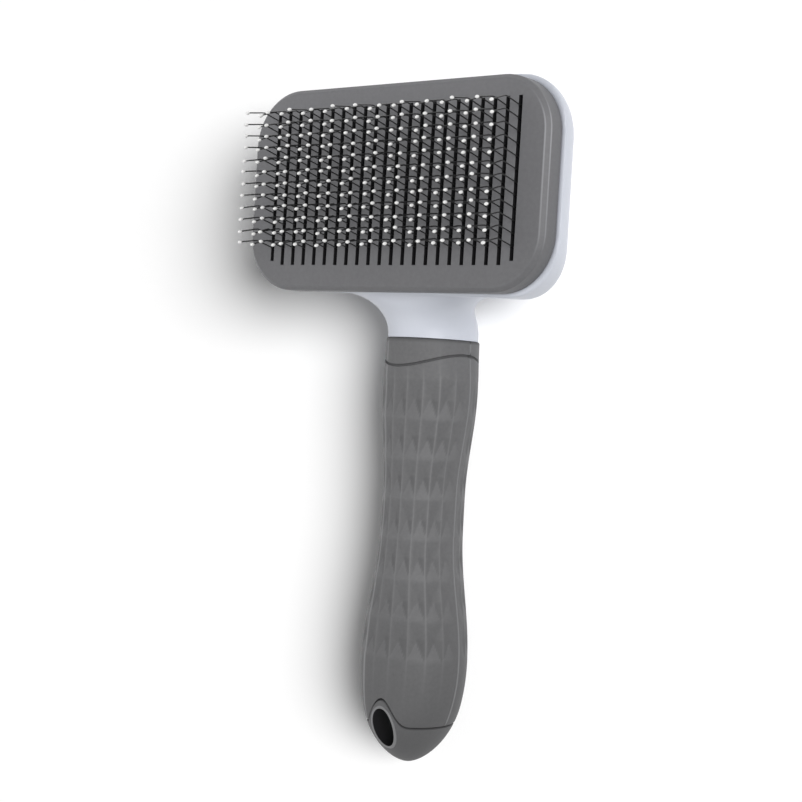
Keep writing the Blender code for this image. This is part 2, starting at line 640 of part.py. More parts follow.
def make_screws(material):
    """Screws with their seats at their own origins: shafts up in the posts, down in the bosses."""
    profile = (
        (-SCREW_HEAD_HEIGHT, SCREW_HEAD - SCREW_CROWN), (SCREW_CROWN - SCREW_HEAD_HEIGHT, SCREW_HEAD),
        (0.0, SCREW_HEAD), (0.0, SCREW_SHAFT), (SCREW_LENGTH - SCREW_SHAFT, SCREW_SHAFT),
        (SCREW_LENGTH, SCREW_POINT))
    turns = [2 * math.pi * step / ROUND_STEPS for step in range(ROUND_STEPS)]
    rings = [[(r * math.cos(a), r * math.sin(a), z) for a in turns] for z, r in profile]
    mesh = loft("screw", rings)
    for number, (x, y) in enumerate(post_places(), 1):
        add_object(f"post_screw_{number}", mesh, material, (x, y, LUG_Z - LUG - GAP))
    down = [(f"base_screw_{number}", x, y, BASE_SCREW_SEAT_Z)
            for number, (x, y) in enumerate(base_screw_places(), 1)]
    down += [(f"button_screw_{number}", side * BUTTON_BOSS_X, HEAD_Y, CUP_Z + GAP)
             for number, side in enumerate((-1, 1), 1)]
    for name, x, y, z in down:
        screw = add_object(name, mesh, material, (x, y, z))
        screw.rotation_euler = (math.pi, 0.0, 0.0)


def wave_y(turn):
    """The groove under the collar: high at the sides, low at the front and back."""
    return COLLAR_Y - WAVE_BELOW + WAVE_HEIGHT * math.cos(2 * turn)


def cap_line_y(turn):
    """Where the end cap meets the grip: level at the sides, arched over the hanging hole."""
    arch = max(0.0, -math.cos(2 * turn)) ** CAP_LINE_POWER
    return TAIL_Y + CAP_LINE_ABOVE + CAP_LINE_ARCH * arch


def grip_rings():
    """Rings down the grip. Every second point of every second ring in the hand area is a dimple's middle."""
    first_y = COLLAR_Y - DIMPLE_BELOW
    step_y = (first_y - BULGE_Y) / (2 * DIMPLE_ROWS)
    places = [
        (lambda turn: COLLAR_Y, GROOVE), (lambda turn: COLLAR_Y - GROOVE, 0.0),
        (lambda turn: wave_y(turn) + GROOVE, 0.0), (wave_y, GROOVE),
        (lambda turn: wave_y(turn) - GROOVE, 0.0),
        (lambda turn: (wave_y(turn) - GROOVE + first_y) / 2, 0.0)]
    rings = [handle_ring(place, lambda column: depth) for place, depth in places]
    for half_row in range(2 * DIMPLE_ROWS + 1):
        y = first_y - half_row * step_y
        dimple = DIMPLE_DEPTH if half_row % 2 else 0.0
        rings.append(handle_ring(lambda turn: y, lambda column: dimple * (column % 2)))
    rings.append(handle_ring(lambda turn: (BULGE_Y + cap_line_y(turn)) / 2, lambda column: 0.0))
    rings.append(handle_ring(lambda turn: cap_line_y(turn) + GROOVE, lambda column: 0.0))
    rings.append(handle_ring(lambda turn: cap_line_y(turn) + GAP / 2, lambda column: GROOVE))
    return rings


def make_grip(material):
    """The grip's front and back halves, round the core."""
    centre = (0.0, CAP_JOINT_Y + GAP / 2, AXIS_Z)
    pocket_rings = core_rings(CORE_END_Y - GAP, COLLAR_Y + GRIP_WALL, GRIP_WALL)
    pocket = tool("pocket", loft("pocket", pocket_rings))
    reach = 2 * BULGE_HALF_WIDTH
    below = (AXIS_Z - reach, AXIS_Z + GAP / 2)
    above = (AXIS_Z - GAP / 2, AXIS_Z + reach)
    for name, cut_away in (("grip_front", below), ("grip_back", above)):
        half = add_object(name, loft(name, grip_rings(), end=centre, checker=True), material)
        join(half, pocket, "DIFFERENCE")
        block = bmesh.new()
        add_box(block, (-reach, reach), (TAIL_Y - reach, COLLAR_Y + reach), cut_away)
        join(half, tool(name + "_other_half", close_mesh(name + "_other_half", block)), "DIFFERENCE")


def make_end_cap(material):
    """Rounded tail with an oval hanging hole from front to back."""
    rings = [handle_ring(lambda turn: cap_line_y(turn) - GAP / 2, lambda column: GROOVE)]
    for step in range(CAP_STEPS):
        share = math.sin(math.pi / 2 * step / CAP_STEPS)
        rings.append(handle_ring(
            lambda turn: (cap_line_y(turn) - GROOVE) * (1 - share) + TAIL_Y * share, lambda column: 0.0))
    start = (0.0, CAP_JOINT_Y - GAP / 2, AXIS_Z)
    cap = add_object("end_cap", loft("end_cap", rings, start=start, end=(0.0, TAIL_Y, AXIS_Z)), material)
    hole_steps = 2 * ROUND_STEPS
    turns = [2 * math.pi * step / hole_steps for step in range(hole_steps)]
    reach = 2 * BULGE_HALF_DEPTH
    hole_rings = [[(HOLE_HALF_WIDTH * math.cos(a), TAIL_Y + HOLE_ABOVE + HOLE_HALF_LENGTH * math.sin(a), z)
                   for a in turns] for z in (AXIS_Z - reach, AXIS_Z + reach)]
    join(cap, tool("hanging_hole", loft("hanging_hole", hole_rings)), "DIFFERENCE")


def main():
    for old in list(bpy.data.objects):
        bpy.data.objects.remove(old, do_unlink=True)
    grey = finish("grey_plastic", (0.17, 0.17, 0.18), 0.5)
    white = finish("white_plastic", (0.66, 0.69, 0.76), 0.4)
    rubber = finish("grey_grip", (0.15, 0.15, 0.155), 0.6)
    steel = finish("steel", (0.55, 0.55, 0.56), 0.3, 1.0)
    make_back_shell(white)
    make_face_plate(grey)
    make_pin_base(finish("base_plastic", (0.02, 0.02, 0.02), 0.5))
    make_pin_rows(steel)
    make_carrier(finish("carrier_plastic", (0.03, 0.03, 0.03), 0.5))
    make_push_button(grey)
    make_springs(steel)
    make_screws(steel)
    make_grip(rubber)
    make_end_cap(rubber)


main()
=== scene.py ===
# %% [markdown]
# # A self-cleaning slicker brush
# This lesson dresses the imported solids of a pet's slicker brush: a grey slotted cap with bent wire
# pins, a white tray with a flared neck, and a grey handle with a dimpled grip. Pieces whose surface
# matters get a finer mesh that stands for the solid, and every solid that still shows gets a
# finish.

# %% Load the frame
import json
import math
import random

import bmesh
import bpy
from mathutils import Matrix, Vector

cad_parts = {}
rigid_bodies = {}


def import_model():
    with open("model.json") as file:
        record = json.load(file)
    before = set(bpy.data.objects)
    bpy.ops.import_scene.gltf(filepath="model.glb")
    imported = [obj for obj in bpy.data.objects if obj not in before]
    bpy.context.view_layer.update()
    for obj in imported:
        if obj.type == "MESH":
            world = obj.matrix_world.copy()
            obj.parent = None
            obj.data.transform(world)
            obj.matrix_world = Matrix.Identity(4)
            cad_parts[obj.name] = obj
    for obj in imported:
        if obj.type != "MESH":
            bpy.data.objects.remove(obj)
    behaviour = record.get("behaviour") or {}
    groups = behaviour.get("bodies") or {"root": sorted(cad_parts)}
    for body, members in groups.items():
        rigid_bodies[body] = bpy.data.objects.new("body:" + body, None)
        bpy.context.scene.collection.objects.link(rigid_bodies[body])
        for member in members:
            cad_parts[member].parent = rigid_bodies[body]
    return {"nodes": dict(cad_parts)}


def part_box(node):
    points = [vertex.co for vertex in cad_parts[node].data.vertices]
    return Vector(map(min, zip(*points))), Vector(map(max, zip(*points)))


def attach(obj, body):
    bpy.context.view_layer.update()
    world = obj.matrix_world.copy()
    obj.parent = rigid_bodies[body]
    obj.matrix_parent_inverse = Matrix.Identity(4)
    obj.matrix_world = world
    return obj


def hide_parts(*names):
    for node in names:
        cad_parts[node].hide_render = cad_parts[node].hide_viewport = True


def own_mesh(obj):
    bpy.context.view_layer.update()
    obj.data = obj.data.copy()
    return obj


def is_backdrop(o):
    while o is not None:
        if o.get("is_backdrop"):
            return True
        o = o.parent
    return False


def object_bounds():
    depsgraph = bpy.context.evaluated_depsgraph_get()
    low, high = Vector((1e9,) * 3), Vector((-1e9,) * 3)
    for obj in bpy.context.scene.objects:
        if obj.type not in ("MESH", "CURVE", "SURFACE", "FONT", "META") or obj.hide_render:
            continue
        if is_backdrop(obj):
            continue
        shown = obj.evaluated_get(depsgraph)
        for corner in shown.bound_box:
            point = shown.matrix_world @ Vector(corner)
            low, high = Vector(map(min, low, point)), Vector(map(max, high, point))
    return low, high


for old in list(bpy.data.objects):
    bpy.data.objects.remove(old)

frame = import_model()
cad_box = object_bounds()
scene = bpy.context.scene
scene.view_settings.view_transform = "Standard"


def brief(box):
    """A box's two corners, rounded for printing."""
    return [tuple(round(c, 4) for c in corner) for corner in box]


print("nodes", len(frame["nodes"]), "CAD box", brief(cad_box))

# %% [markdown]
# ## Camera
# The photograph looks down on the brush from its right, along a line 38 degrees off the pins. The
# even slots gave the distance and the lens, so straight edges run together as they do in the
# picture.

# %% Camera
MM = 0.001
LENS = 75.61
SENSOR_WIDTH = 36.0
CAMERA_PLACE = (0.30524, 0.01039, 0.41962)
CAMERA_TURN = (2.36, 37.94, 4.36)

camera_data = bpy.data.cameras.new("camera")
camera_data.lens = LENS
camera_data.sensor_width = SENSOR_WIDTH
camera = bpy.data.objects.new("camera", camera_data)
camera.location = CAMERA_PLACE
camera.rotation_euler = [math.radians(angle) for angle in CAMERA_TURN]
scene.collection.objects.link(camera)
scene.camera = camera
print("camera", CAMERA_PLACE)

# %% [markdown]
# ## Writing finishes as sums
# A finish is a tree of nodes. Written node by node it is hard to read, so one small class turns
# operators into Math nodes. A second class holds the material and makes all its nodes.


# %% Finish tools
class Level:
    """An output of a node that can be used in sums."""

    def __init__(self, finish, output):
        self.finish = finish
        self.output = output

    def maths(self, operation, first, second):
        return self.finish.node("ShaderNodeMath", {"operation": operation}, {0: first, 1: second})

    def __add__(self, other):
        return self.maths("ADD", self, other)

    def __radd__(self, other):
        return self.maths("ADD", other, self)

    def __sub__(self, other):
        return self.maths("SUBTRACT", self, other)

    def __rsub__(self, other):
        return self.maths("SUBTRACT", other, self)

    def __mul__(self, other):
        return self.maths("MULTIPLY", self, other)

    def __rmul__(self, other):
        return self.maths("MULTIPLY", other, self)

    def __pow__(self, other):
        return self.maths("POWER", self, other)


class Finish:
    """A material, or the world, whose shader takes levels, colours and a bump."""

    def __init__(self, owner, shader="Principled BSDF", **uniform):
        self.material = owner
        owner.use_nodes = True
        self.tree = owner.node_tree
        self.shader = self.tree.nodes[shader]
        for socket, value in uniform.items():
            self.shader.inputs[socket.replace("_", " ")].default_value = value

    def node(self, kind, settings=(), inputs=(), output=0):
        made = self.tree.nodes.new(kind)
        for name, value in dict(settings).items():
            setattr(made, name, value)
        for name, value in dict(inputs).items():
            self.feed(made.inputs[name], value)
        return Level(self, made.outputs[output])

    def feed(self, socket, value):
        if isinstance(value, Level):
            self.tree.links.new(value.output, socket)
        else:
            socket.default_value = value

    def place(self):
        """The place on the brush, in metres."""
        return self.node("ShaderNodeTexCoord", output="Object")

    def along(self):
        """The place along the handle, in metres."""
        return self.node("ShaderNodeSeparateXYZ", inputs={0: self.place()}, output="Y")

    def noise(self, size, detail=2.0, stretch=(1.0, 1.0, 1.0)):
        """Noise whose patches are about that size, drawn out along an axis by a stretch below 1."""
        scaled = self.node("ShaderNodeMapping", inputs={"Vector": self.place(), "Scale": stretch})
        return self.node("ShaderNodeTexNoise",
                         inputs={"Vector": scaled, "Scale": 1 / size, "Detail": detail})

    def between(self, level, first, second):
        """A colour that goes from the first to the second with a level."""
        first, second = (c if isinstance(c, Level) else (*c, 1.0) for c in (first, second))
        return self.node("ShaderNodeMix", {"data_type": "RGBA", "clamp_factor": True},
                         {0: level, 6: first, 7: second}, output=2)

    def stored(self, name):
        """A value that the mesh stores at its points."""
        return self.node("ShaderNodeAttribute", {"attribute_name": name}, output="Fac")

    def marked(self, plain, light, dark):
        """A colour with a painted highlight where the mesh is marked above zero, and painted shade
        below.
        """
        mark = self.stored("mark")
        return self.between(0.0 - mark, self.between(mark, plain, light), dark)

    def seen(self):
        """1 for rays that show the background: the camera's, off gloss or through glass."""
        rays = ("Is Camera Ray", "Is Glossy Ray", "Is Transmission Ray")
        return sum(self.node("ShaderNodeLightPath", output=ray) for ray in rays)

    def paint(self, socket, value):
        self.feed(self.shader.inputs[socket], value)

    def bump(self, height, depth):
        """Dents of that depth where the height is low."""
        inputs = {"Height": height, "Distance": depth, "Strength": 1.0}
        self.paint("Normal", self.node("ShaderNodeBump", inputs=inputs))


def material(name, **uniform):
    """A finish for a piece."""
    return Finish(bpy.data.materials.new(name), **uniform)


def shade(colour, factor):
    """The same colour, darker or lighter."""
    return tuple(channel * factor for channel in colour)


print("finish tools", Level.__name__, Finish.__name__)

# %% [markdown]
# ## Moulded plastic
# Mouldings are never one flat colour. The tool leaves a grain of half a millimetre or less, the
# pigment gathers in faint spots of a millimetre and in clouds of a centimetre or two, and the gloss
# changes with both. A picture of plastic would do, but noise has no seams and shows at any size.
# The cap also gets a little lighter towards the top of the head, as the photograph's light has it.

# %% Moulded finishes
# Marked places get a painted highlight or painted shade, by these factors.
PAINTED_HIGHLIGHT = 3.0
PAINTED_SHADE = 0.5
PLASTIC_IOR = 1.46
SPOT = 1.0 * MM
FLOW = 6.0 * MM
FLOW_STRETCH = (1.0, 0.25, 1.0)
CLOUD = 18.0 * MM
STREAK_DETAIL = 3.0
CLOUD_SHARE, FLOW_SHARE, SPOT_SHARE = 0.2, 0.2, 0.6
LEAST_ROUGH, GRAIN_ROUGH, CLOUD_ROUGH = -0.08, 0.1, 0.06

GREY = (0.147, 0.147, 0.151)
CAP_GREY = (0.136, 0.136, 0.143)
WHITE = (0.61, 0.635, 0.70)
BLACK = (0.012, 0.012, 0.013)

head_y = sum(corner.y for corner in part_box("face_plate")) / 2


def moulded(name, colour, roughness, grain, grain_depth, cloud=0.06, rise=0.0):
    """A moulding whose colour varies by the share in cloud. A rise paints light on it, lighter up
    the head.
    """
    finish = material(name, Metallic=0.0, IOR=PLASTIC_IOR)
    fine = finish.noise(grain)
    broad = finish.noise(CLOUD)
    flow = finish.noise(FLOW, STREAK_DETAIL, FLOW_STRETCH)
    spots = finish.noise(SPOT)
    tone = broad * CLOUD_SHARE + flow * FLOW_SHARE + spots * SPOT_SHARE
    if rise:
        tone = tone + (finish.along() - head_y) * rise
    plain = finish.between(tone, shade(colour, 1 - cloud), shade(colour, 1 + cloud))
    # Points marked above zero get a painted highlight, and points marked below zero get painted
    # shade.
    light, dark = shade(colour, PAINTED_HIGHLIGHT), shade(colour, PAINTED_SHADE)
    finish.paint("Base Color", finish.marked(plain, light, dark))
    finish.paint("Roughness", roughness + LEAST_ROUGH + GRAIN_ROUGH * fine + CLOUD_ROUGH * broad)
    finish.bump(fine, grain_depth)
    return finish


# The cap's rise is painted light, lighter towards the top of the head.
grey_cap = moulded("grey_cap", CAP_GREY, roughness=0.52, grain=0.35 * MM, grain_depth=0.010 * MM,
                   cloud=0.2, rise=10.0)
white_tray = moulded("white_tray", WHITE, roughness=0.38, grain=0.5 * MM, grain_depth=0.003 * MM,
                     cloud=0.02)
# Black serves the inside pieces, and as painted shade for the slots' walls and the hole's lining.
black_and_painted_shade = moulded("black_and_painted_shade", BLACK, roughness=0.55, grain=0.5 * MM, grain_depth=0.01 * MM)
print("mouldings", [finish.material.name for finish in (grey_cap, white_tray, black_and_painted_shade)])

# %% [markdown]
# ## Building tools
# Most pieces are a rounded plate or a tube whose section changes. The plate starts as a square with
# bevelled corners. The tube starts as a flat grid whose points are put round the piece.

# %% Mesh tools
CORNER_STEPS = 16
JOIN = 0.001 * MM


def points(parts):
    """The points among the parts of a mesh."""
    return [part for part in parts if isinstance(part, bmesh.types.BMVert)]


def with_neighbours(verts):
    """Points, with the edges and the faces that hang on them."""
    edges = dict.fromkeys(edge for point in verts for edge in point.link_edges)
    faces = dict.fromkeys(face for point in verts for face in point.link_faces)
    return [*verts, *edges, *faces]


def bevel(bm, parts, width, steps, affect="EDGES"):
    """Takes off edges, or corners, by a width."""
    bmesh.ops.bevel(bm, geom=parts, offset=width, offset_type="OFFSET", affect=affect,
                    segments=steps, profile=0.5, material=-1)


def add_box(bm, size, middle):
    corners = bmesh.ops.create_cube(bm, size=1.0)["verts"]
    bmesh.ops.scale(bm, vec=size, verts=corners)
    bmesh.ops.translate(bm, vec=middle, verts=corners)


def rounded_plate(half_x, half_y, radius, middle):
    """A flat face with round corners."""
    bm = bmesh.new()
    bmesh.ops.create_grid(bm, x_segments=1, y_segments=1, size=1.0)
    bmesh.ops.scale(bm, vec=(half_x, half_y, 1.0), verts=bm.verts)
    bevel(bm, bm.verts[:], radius, CORNER_STEPS, "VERTICES")
    bmesh.ops.translate(bm, vec=middle, verts=bm.verts)
    return bm


def thicken(bm, height):
    """Makes a flat face a block of that height. The far face comes back."""
    grown = bmesh.ops.extrude_face_region(bm, geom=bm.faces[:], use_keep_orig=True)["geom"]
    bmesh.ops.translate(bm, vec=(0, 0, height), verts=points(grown))
    return next(part for part in grown if isinstance(part, bmesh.types.BMFace))


def push_in(bm, face, height):
    """Extrudes one face of a block and takes the old one out."""
    grown = bmesh.ops.extrude_face_region(bm, geom=[face], use_keep_orig=False)["geom"]
    bmesh.ops.translate(bm, vec=(0, 0, height), verts=points(grown))
    bmesh.ops.delete(bm, geom=[face], context="FACES_ONLY")


def wrap(columns, rows, place, closed=False):
    """A grid whose points are put at place(column, row). Points that meet are joined."""
    bm = bmesh.new()
    bmesh.ops.create_grid(bm, x_segments=columns, y_segments=rows, size=0.5)
    for point in bm.verts:
        column, row = (point.co.x + 0.5) * columns, (point.co.y + 0.5) * rows
        point.co = place(round(column), round(row))
    bmesh.ops.remove_doubles(bm, verts=bm.verts, dist=JOIN)
    if closed:
        bmesh.ops.holes_fill(bm, edges=bm.edges[:], sides=0)
    return bm


def full_turn(step, steps):
    """The angle of a step round a circle, whose last step is its first again."""
    return 2 * math.pi * (step % steps) / steps


print("plates have", CORNER_STEPS, "steps in each corner")

# %% [markdown]
# A mesh becomes an object in one place. Modifiers are turned into the mesh at once, so that later
# steps can work on what they made.


# %% Object tools
def smooth_below(mesh, angle):
    """Shades a mesh smooth where its faces meet at less than an angle in degrees."""
    mesh.shade_smooth()
    mesh.set_sharp_from_angle(angle=math.radians(angle))


def as_object(name, bm):
    """An object at the origin, with its faces turned out."""
    bmesh.ops.recalc_face_normals(bm, faces=bm.faces)
    mesh = bpy.data.meshes.new(name)
    bm.to_mesh(mesh)
    bm.free()
    made = bpy.data.objects.new(name, mesh)
    scene.collection.objects.link(made)
    return made


def piece(name, bm, finish, smooth_angle=40):
    """An object with a finish, smooth where its faces meet gently."""
    made = as_object(name, bm)
    smooth_below(made.data, smooth_angle)
    made.data.materials.append(finish.material)
    return made


def settle(made):
    """Turns an object's modifiers into its mesh."""
    graph = bpy.context.evaluated_depsgraph_get()
    mesh = bpy.data.meshes.new_from_object(made.evaluated_get(graph))
    made.modifiers.clear()
    made.data = mesh


def cut(made, bm, operation="DIFFERENCE", finish=None):
    """Cuts a shape out of a piece, or adds it. The new faces take the finish, if one is given."""
    cutter = as_object("cutter", bm)
    boolean = made.modifiers.new("cut", "BOOLEAN")
    boolean.operation = operation
    boolean.object = cutter
    boolean.solver = "EXACT"
    if finish:
        cutter.data.materials.append(finish.material)
        boolean.material_mode = "TRANSFER"
    settle(made)
    bpy.data.objects.remove(cutter)


def told(made):
    print(made.name, "faces", len(made.data.polygons))


# %% [markdown]
# ## Slotted cap
# The cap is a shallow lid with a chamfered rim, pierced by a slot for each row of pins. The lid is
# one rounded face pulled up, its underside inset and pushed in. The slots could be laid out face by
# face, but cutting them keeps the lid simple.

# %% Cap's sizes
cap_low, cap_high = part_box("face_plate")
SLOT_COUNT = 22
SLOT_PITCH = 4.2 * MM
SLOT_WIDTH = 1.2 * MM
SLOT_LENGTH = 46.4 * MM
OUTER_SLOT_SHORTER = 1.2 * MM
SLOT_RISE = 0.5 * MM
CAP_DEPTH = 6.4 * MM
CAP_WALL = 1.6 * MM
CAP_PLATE = 2.0 * MM
CAP_CORNER = 16.5 * MM
CAP_BEVEL = 1.3 * MM
SLOT_CUT = 4 * CAP_PLATE

face_z = cap_high.z
cap_half_x = (cap_high.x - cap_low.x) / 2
cap_half_y = (cap_high.y - cap_low.y) / 2
slots_y = head_y + SLOT_RISE


def row_x(row):
    """Middle of a row of pins."""
    return (row - (SLOT_COUNT - 1) / 2) * SLOT_PITCH


print("cap", round(2 * cap_half_x / MM, 2), "by", round(2 * cap_half_y / MM, 2), "mm")


# %% Lid and slots
def cap_body():
    bm = rounded_plate(cap_half_x, cap_half_y, CAP_CORNER, (0, head_y, face_z - CAP_DEPTH))
    top = thicken(bm, CAP_DEPTH)
    bevel(bm, top.edges[:], CAP_BEVEL, 1)
    under = min(bm.faces, key=lambda face: face.calc_center_median().z)
    bmesh.ops.inset_region(bm, faces=[under], thickness=CAP_WALL, use_even_offset=True)
    push_in(bm, under, CAP_DEPTH - CAP_PLATE)
    return bm


def slot_cutters():
    bm = bmesh.new()
    for row in range(SLOT_COUNT):
        shorter = OUTER_SLOT_SHORTER if row in (0, SLOT_COUNT - 1) else 0.0
        add_box(bm, (SLOT_WIDTH, SLOT_LENGTH - shorter, SLOT_CUT),
                (row_x(row), slots_y + shorter / 2, face_z))
    return bm


cap = piece("slotted_cap", cap_body(), grey_cap)
# The slots' walls are painted black, as painted shade for their dark insides.
cut(cap, slot_cutters(), finish=black_and_painted_shade)
told(cap)

# %% [markdown]
# Every sharp edge gets a narrow bevel, which catches the light as moulded edges do. It is wider on
# the two edges of the chamfer. Each of these lies at a turn from the face, in degrees, and gets a
# painted highlight where it faces the right, fading towards the bottom of the head.

# %% Cap's edges
ROUNDING = 0.35 * MM
ROUNDING_STEPS = 3
CHAMFER_ROUNDING = 0.8 * MM
CHAMFER_EDGES = ((22.5, 0.55), (67.5, 0.62))
CHAMFER_NEAR = 13.0
CHAMFER_FADE = 7
CHAMFER_FALL = (-22.0 * MM, -6.0 * MM)
FLAT_TURN = 10.0
SHARP = math.radians(30)
CAP_SMOOTH = 60


def on_chamfer(place):
    """Whether a place is on the cap's chamfer, not by the slots or further down."""
    beside_slots = abs(place.x) < SLOT_COUNT / 2 * SLOT_PITCH
    along_slots = abs(place.y - slots_y) < SLOT_LENGTH / 2 + ROUNDING
    return place.z > face_z - CAP_DEPTH / 2 and not (beside_slots and along_slots)


def weigh_edges(made):
    """Gives the chamfer's edges the full rounding, and other sharp edges a narrower one."""
    bm = bmesh.new()
    bm.from_mesh(made.data)
    weight = bm.edges.layers.float.new("bevel_weight_edge")
    for edge in bm.edges:
        if edge.calc_face_angle(0.0) > SHARP:
            middle = (edge.verts[0].co + edge.verts[1].co) / 2
            edge[weight] = 1.0 if on_chamfer(middle) else ROUNDING / CHAMFER_ROUNDING
    bm.to_mesh(made.data)
    bm.free()


def mark_chamfer(made):
    """Marks a painted highlight for the finish on the chamfer's two rounded edges where they face
    the right.
    """
    mark = made.data.attributes.new("mark", "FLOAT", "POINT")
    low, high = (head_y + place for place in CHAMFER_FALL)
    for point, stored in zip(made.data.vertices, mark.data):
        way = point.normal
        turn = math.degrees(math.acos(min(max(way.z, -1.0), 1.0)))
        if turn > FLAT_TURN and on_chamfer(point.co):
            share = sum(light for middle, light in CHAMFER_EDGES
                        if abs(turn - middle) < CHAMFER_NEAR)
            facing = max(0.0, way.x / math.hypot(way.x, way.y))
            fall = min(max((point.co.y - low) / (high - low), 0.0), 1.0)
            stored.value = share * facing ** CHAMFER_FADE * fall


weigh_edges(cap)
rounding = cap.modifiers.new("rounding", "BEVEL")
rounding.width = CHAMFER_ROUNDING
rounding.segments = ROUNDING_STEPS
rounding.limit_method = "WEIGHT"
rounding.harden_normals = True
smooth_below(cap.data, CAP_SMOOTH)
settle(cap)
mark_chamfer(cap)
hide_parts("face_plate")
told(cap)

# %% [markdown]
# Four round posts stand under the cap. They show when it is pushed out.

# %% Cap posts
POST_X = 49.8 * MM
POST_SPREAD = 9.0 * MM
POST_RADIUS = 1.9 * MM
POST_LENGTH = 5.9 * MM
POST_SIDES = 24


def cap_posts():
    bm = bmesh.new()
    post_z = face_z - CAP_PLATE - POST_LENGTH / 2
    for x in (-POST_X, POST_X):
        for y in (-POST_SPREAD, POST_SPREAD):
            post = bmesh.ops.create_cone(bm, cap_ends=True, segments=POST_SIDES,
                                         radius1=POST_RADIUS, radius2=POST_RADIUS,
                                         depth=POST_LENGTH)["verts"]
            bmesh.ops.translate(bm, vec=(x, head_y + y, post_z), verts=post)
    return bm


posts = piece("cap_posts", cap_posts(), grey_cap)
for made in (cap, posts):
    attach(made, "ejector")
told(posts)

# %% [markdown]
# ## Pins
# Each pin is a fine steel wire that leans towards the head's top, bends back at a knee, and ends in
# a small white ball. Long and short rows take turns. There are hundreds of pins, so one wire has
# few faces: a ring of five points pushed along its way, then copied down its row. A curve with a
# bevel would make many more. No two pins are bent quite alike.

# %% Pin finishes
SCRATCH = 0.25 * MM
SCRATCH_DARK = 0.7
SCRATCH_ROUGH = 0.2
WIRE_GREY = (0.12, 0.12, 0.12)
BALL_WHITE = (0.9, 0.9, 0.89)


def steel(name, colour, roughness, stretch):
    """Bright steel with fine scratches drawn out along one axis."""
    finish = material(name, Metallic=1.0)
    drawn = finish.noise(SCRATCH, stretch=stretch)
    finish.paint("Base Color", finish.between(drawn, shade(colour, SCRATCH_DARK), colour))
    finish.paint("Roughness", roughness + SCRATCH_ROUGH * drawn)
    return finish


wire_steel = steel("wire_steel", WIRE_GREY, roughness=0.28, stretch=(1.0, 1.0, 0.1))
ball_white = moulded("ball_white", BALL_WHITE, roughness=0.25, grain=0.2 * MM,
                     grain_depth=0.002 * MM)
print("pins in", wire_steel.material.name, "and", ball_white.material.name)

# %% Pin's way
PIN_COUNT = 12
PIN_PITCH = 3.5 * MM
PIN_RISE = 1.2 * MM
PIN_HEIGHTS = (15.5 * MM, 14.2 * MM)
TIP_DROPS = (0.0, 0.6 * MM)
TIP_UNEVEN = (0.3 * MM, 0.45 * MM)
KNEE_HEIGHT = 7.0 * MM
KNEE_LEAN = 1.5 * MM
KNEE_ROUNDING = 1.2 * MM
FOOT_DEPTH = 3.5 * MM
BALL_RADIUS = 0.52 * MM

pins_y = slots_y + PIN_RISE


def pin_way(height, tip_drop):
    """Points up a pin's middle, from inside its bar to under its ball."""
    lean = KNEE_LEAN / KNEE_HEIGHT
    back = -(tip_drop + KNEE_LEAN) / (height - KNEE_HEIGHT)
    return [
        (-FOOT_DEPTH * lean, -FOOT_DEPTH),
        (KNEE_LEAN - KNEE_ROUNDING * lean, KNEE_HEIGHT - KNEE_ROUNDING),
        (KNEE_LEAN - KNEE_ROUNDING * lean / 4, KNEE_HEIGHT),
        (KNEE_LEAN + KNEE_ROUNDING * back, KNEE_HEIGHT + KNEE_ROUNDING),
        (-tip_drop, height - BALL_RADIUS)]


def copy_row(bm, parts, row):
    """Copies a pin down its row, in its slot. Above their knees the pins lean a little off."""
    first = -(PIN_COUNT - 1) / 2 * PIN_PITCH
    pins = [points(parts)]
    bmesh.ops.translate(bm, vec=(row_x(row), pins_y + first, face_z), verts=pins[0])
    for number in range(1, PIN_COUNT):
        pins.append(points(bmesh.ops.duplicate(bm, geom=parts)["geom"]))
        bmesh.ops.translate(bm, vec=(0, number * PIN_PITCH, 0), verts=pins[-1])
    chance = random.Random(row)
    for pin in pins:
        aside, along = (chance.uniform(-most, most) for most in TIP_UNEVEN)
        for point in pin:
            above = max(0.0, point.co.z - face_z - KNEE_HEIGHT)
            share = above / (PIN_HEIGHTS[0] - KNEE_HEIGHT)
            point.co.x += aside * share
            point.co.y += along * share


print("pins", SLOT_COUNT * PIN_COUNT, "up to", round(max(PIN_HEIGHTS) / MM, 2), "mm high")

# %% Pins
WIRE_RADIUS = 0.21 * MM
WIRE_SIDES = 5
BALL_STRETCH = 1.6
BALL_SIDES = 8
BALL_RINGS = 5


def pin_wires():
    bm = bmesh.new()
    for row in range(SLOT_COUNT):
        way = pin_way(PIN_HEIGHTS[row % 2], TIP_DROPS[row % 2])
        ring = bmesh.ops.create_circle(bm, segments=WIRE_SIDES, radius=WIRE_RADIUS)["verts"]
        bmesh.ops.translate(bm, vec=(0, *way[0]), verts=ring)
        parts = with_neighbours(ring)
        edges = parts[len(ring):]
        for (y, z), (next_y, next_z) in zip(way, way[1:]):
            grown = bmesh.ops.extrude_edge_only(bm, edges=edges)["geom"]
            ends = points(grown)
            bmesh.ops.translate(bm, vec=(0, next_y - y, next_z - z), verts=ends)
            edges = [part for part in grown
                     if isinstance(part, bmesh.types.BMEdge) and set(ends).issuperset(part.verts)]
            parts += grown
        copy_row(bm, list(dict.fromkeys(parts)), row)
    bmesh.ops.holes_fill(bm, edges=bm.edges[:], sides=WIRE_SIDES)
    return bm


